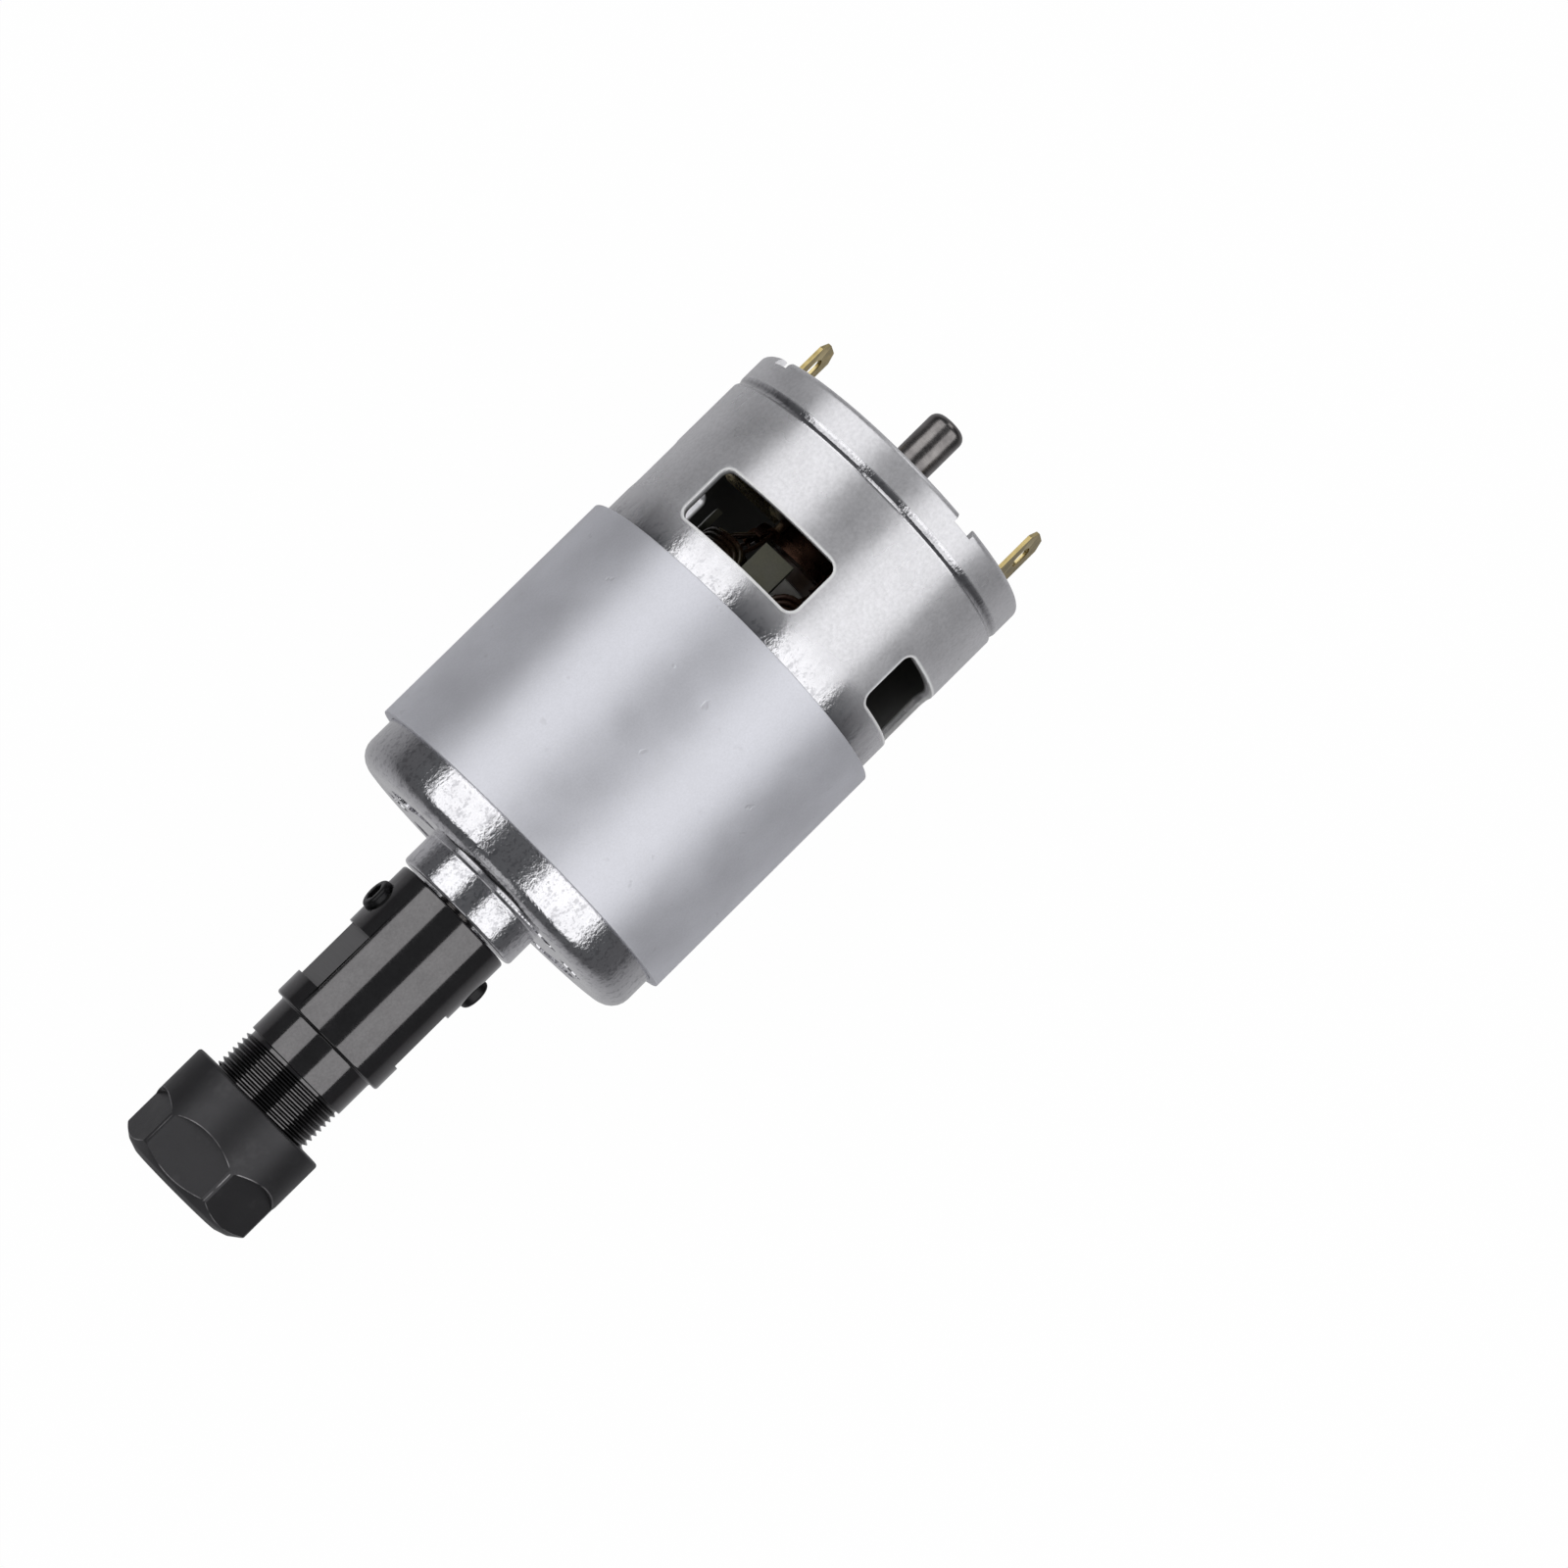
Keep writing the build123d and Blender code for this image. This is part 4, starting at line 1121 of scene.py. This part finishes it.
class SPINDLE_OT_nut(bpy.types.Operator):
    """Turns the clamp nut and mills its six flats, each with a run-out into the round collar."""

    bl_idname = "spindle.nut"
    bl_label = "Clamp nut"

    def execute(self, context):
        sizes = context.scene.spindle_holder
        outline = rounded([
            (-36.0, 7.05, 0.2), (-36.0, NUT_RADIUS, 0.4), (-47.7, NUT_RADIUS, 0.3),
            (-48.9, 7.9, 1.2), (-49.4, 6.4, 0.4), (-49.4, 4.952, 0.15), (-48.306, 4.952, 0.1),
            (-46.868, 5.782, 0), (-46.338, 5.812, 0), (-43.6, 5.812, 0.1), (-43.6, 7.05, 0),
        ])
        flat = [(-56.0, 7.0), (-56.0, -7.0)]
        for step in range(29):
            aside = -7.0 + 0.5 * step
            flat.append((math.sqrt(NUT_ARC ** 2 - aside ** 2) - NUT_ARC_X, aside))
        cutters = [
            prism(flat, NUT_FLAT, 12.0, facing(NUT_ANGLE + 60 * copy)) for copy in range(6)
        ]
        work = carved(turned(outline, 168), cutters)
        edge = sizes.nut_edge / MM
        soften(work, edge, 17, lambda spot, radius: -49.2 < spot.x < -37 and radius > 8.3)
        piece = shown("hex_nut", work, "clamp_nut", "nut_black", 40)
        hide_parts("clamp_nut")
        return {"FINISHED"}


class SPINDLE_OT_stage(bpy.types.Operator):
    """Lays the white floor, hangs the soft lamps and sets the camera."""

    bl_idname = "spindle.stage"
    bl_label = "Stage"

    def execute(self, context):
        sizes = context.scene.spindle_stage
        self.floor(sizes)
        self.lamps(context, sizes)
        self.camera(context, sizes)
        return {"FINISHED"}

    def floor(self, sizes):
        """A paper floor that the camera sees white and that reflections see grey."""
        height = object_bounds()[0][2]
        half = sizes.floor_size / 2
        corners = ((-half, -half), (half, -half), (half, half), (-half, half))
        mesh = bpy.data.meshes.new("white_floor")
        mesh.from_pydata([(x, y, height) for x, y in corners], [], [(0, 1, 2, 3)])
        floor = placed("white_floor", mesh)
        f = Finish("white_floor")
        paper = f.node("ShaderNodeBsdfDiffuse", None, {"Color": (0.86, 0.86, 0.86)})
        glow = f.node("ShaderNodeEmission", None, {"Color": (1, 1, 1), "Strength": 1.0})
        # Painted reflection: reflected rays see the floor glow grey, brighter near the spindle and
        # darker further off
        aside = abs(f.node("ShaderNodeSeparateXYZ", None, {"Vector": f.spot()}, output=1))
        grey = f.tint(f.spread(aside, 0.02, 0.12), (0.44, 0.44, 0.45), (0.11, 0.11, 0.115))
        dim = f.node("ShaderNodeEmission", None, {"Color": grey, "Strength": 1.0})
        path = f.node("ShaderNodeLightPath").socket.node
        camera, glossy, through = (
            Socket(f.tree, path.outputs[name])
            for name in ("Is Camera Ray", "Is Glossy Ray", "Is Transmission Ray")
        )
        mirrored = (glossy + through).clamped()
        seen = f.node("ShaderNodeMixShader", None, {0: mirrored, 1: paper, 2: dim})
        mix = f.node("ShaderNodeMixShader", None, {0: camera * 0.985, 1: seen, 2: glow})
        mesh.materials.append(f.finished(mix))
        floor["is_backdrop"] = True

    def lamps(self, context, sizes):
        """A dim room with a soft box on each side of the spindle and one at each end."""
        world = bpy.data.worlds.new("soft_room")
        world.use_nodes = True
        sky = world.node_tree.nodes["Background"]
        sky.inputs["Color"].default_value = (0.94, 0.96, 1.0, 1.0)
        sky.inputs["Strength"].default_value = sizes.room_level
        context.scene.world = world
        level = sizes.lamp_level
        length, width = Vector((1, 0, 0)), Vector((0, 1, 0))
        for name, place, size, strength, across in (
            ("left_box", (0.02, 0.410, 0.396), (0.95, 0.508), level, length),
            ("right_box", (0.02, -0.396, 0.410), (0.95, 0.556), level, length),
            ("front_box", (-0.75, 0.0, 0.25), (0.30, 0.45), level * 0.3, width),
            ("rear_box", (0.80, 0.0, 0.25), (0.30, 0.45), level * 0.8, width),
        ):
            data = bpy.data.lights.new(name, "AREA")
            data.shape = "RECTANGLE"
            data.size, data.size_y = size
            data.energy = strength * math.pi * size[0] * size[1]
            lamp = placed(name, data)
            aim = (Vector((0.02, 0, 0)) - Vector(place)).normalized()
            up = (-aim).cross(across).normalized()
            side = up.cross(-aim).normalized()
            turn = Matrix((side, up, -aim)).transposed().to_4x4()
            lamp.matrix_world = Matrix.Translation(place) @ turn

    def camera(self, context, sizes):
        """A long lens over the spindle, turned so that the spindle lies slanted."""
        data = bpy.data.cameras.new("photo_camera")
        data.lens = sizes.focal_length
        data.sensor_width = 36.0
        data.clip_start = 0.01
        camera = placed("photo_camera", data)
        eye, target = Vector(sizes.eye), Vector(sizes.target)
        back = (eye - target).normalized()
        up = Vector((math.sin(sizes.slant), math.cos(sizes.slant), 0))
        right = up.cross(back).normalized()
        up = back.cross(right)
        turn = Matrix((right, up, back)).transposed().to_4x4()
        camera.matrix_world = Matrix.Translation(eye) @ turn
        context.scene.camera = camera
        context.scene.view_settings.view_transform = "Standard"


class SPINDLE_PT_panel(bpy.types.Panel):
    """Lists the pieces of the spindle and their sizes."""

    bl_label = "Motor Spindle"
    bl_idname = "SPINDLE_PT_panel"
    bl_space_type = "VIEW_3D"
    bl_region_type = "UI"
    bl_category = "Spindle"

    def draw(self, context):
        layout = self.layout
        for operator in STEPS:
            layout.operator(operator.bl_idname)
        for name, group in GROUPS.items():
            box = layout.box()
            sizes = getattr(context.scene, name)
            for key in group.__annotations__:
                box.prop(sizes, key)


STEPS = (
    SPINDLE_OT_finishes,
    SPINDLE_OT_can,
    SPINDLE_OT_flux_ring,
    SPINDLE_OT_rear_cover,
    SPINDLE_OT_terminals,
    SPINDLE_OT_windings,
    SPINDLE_OT_riser_hooks,
    SPINDLE_OT_brush_springs,
    SPINDLE_OT_holder,
    SPINDLE_OT_set_screws,
    SPINDLE_OT_nut,
    SPINDLE_OT_stage,
)
GROUPS = {
    "spindle_motor": SpindleMotor,
    "spindle_holder": SpindleHolder,
    "spindle_armature": SpindleArmature,
    "spindle_stage": SpindleStage,
}
CLASSES = (*GROUPS.values(), *STEPS, SPINDLE_PT_panel)


def register():
    for item in CLASSES:
        bpy.utils.register_class(item)
    for name, group in GROUPS.items():
        setattr(bpy.types.Scene, name, bpy.props.PointerProperty(type=group))


def unregister():
    for name in GROUPS:
        delattr(bpy.types.Scene, name)
    for item in reversed(CLASSES):
        bpy.utils.unregister_class(item)


def main():
    register()
    bpy.ops.spindle.finishes()
    bpy.ops.spindle.can()
    bpy.ops.spindle.flux_ring()
    bpy.ops.spindle.rear_cover()
    bpy.ops.spindle.terminals()
    bpy.ops.spindle.windings()
    bpy.ops.spindle.riser_hooks()
    bpy.ops.spindle.brush_springs()
    bpy.ops.spindle.holder()
    bpy.ops.spindle.set_screws()
    bpy.ops.spindle.nut()
    bpy.ops.spindle.stage()


if __name__ == "__main__":
    main()
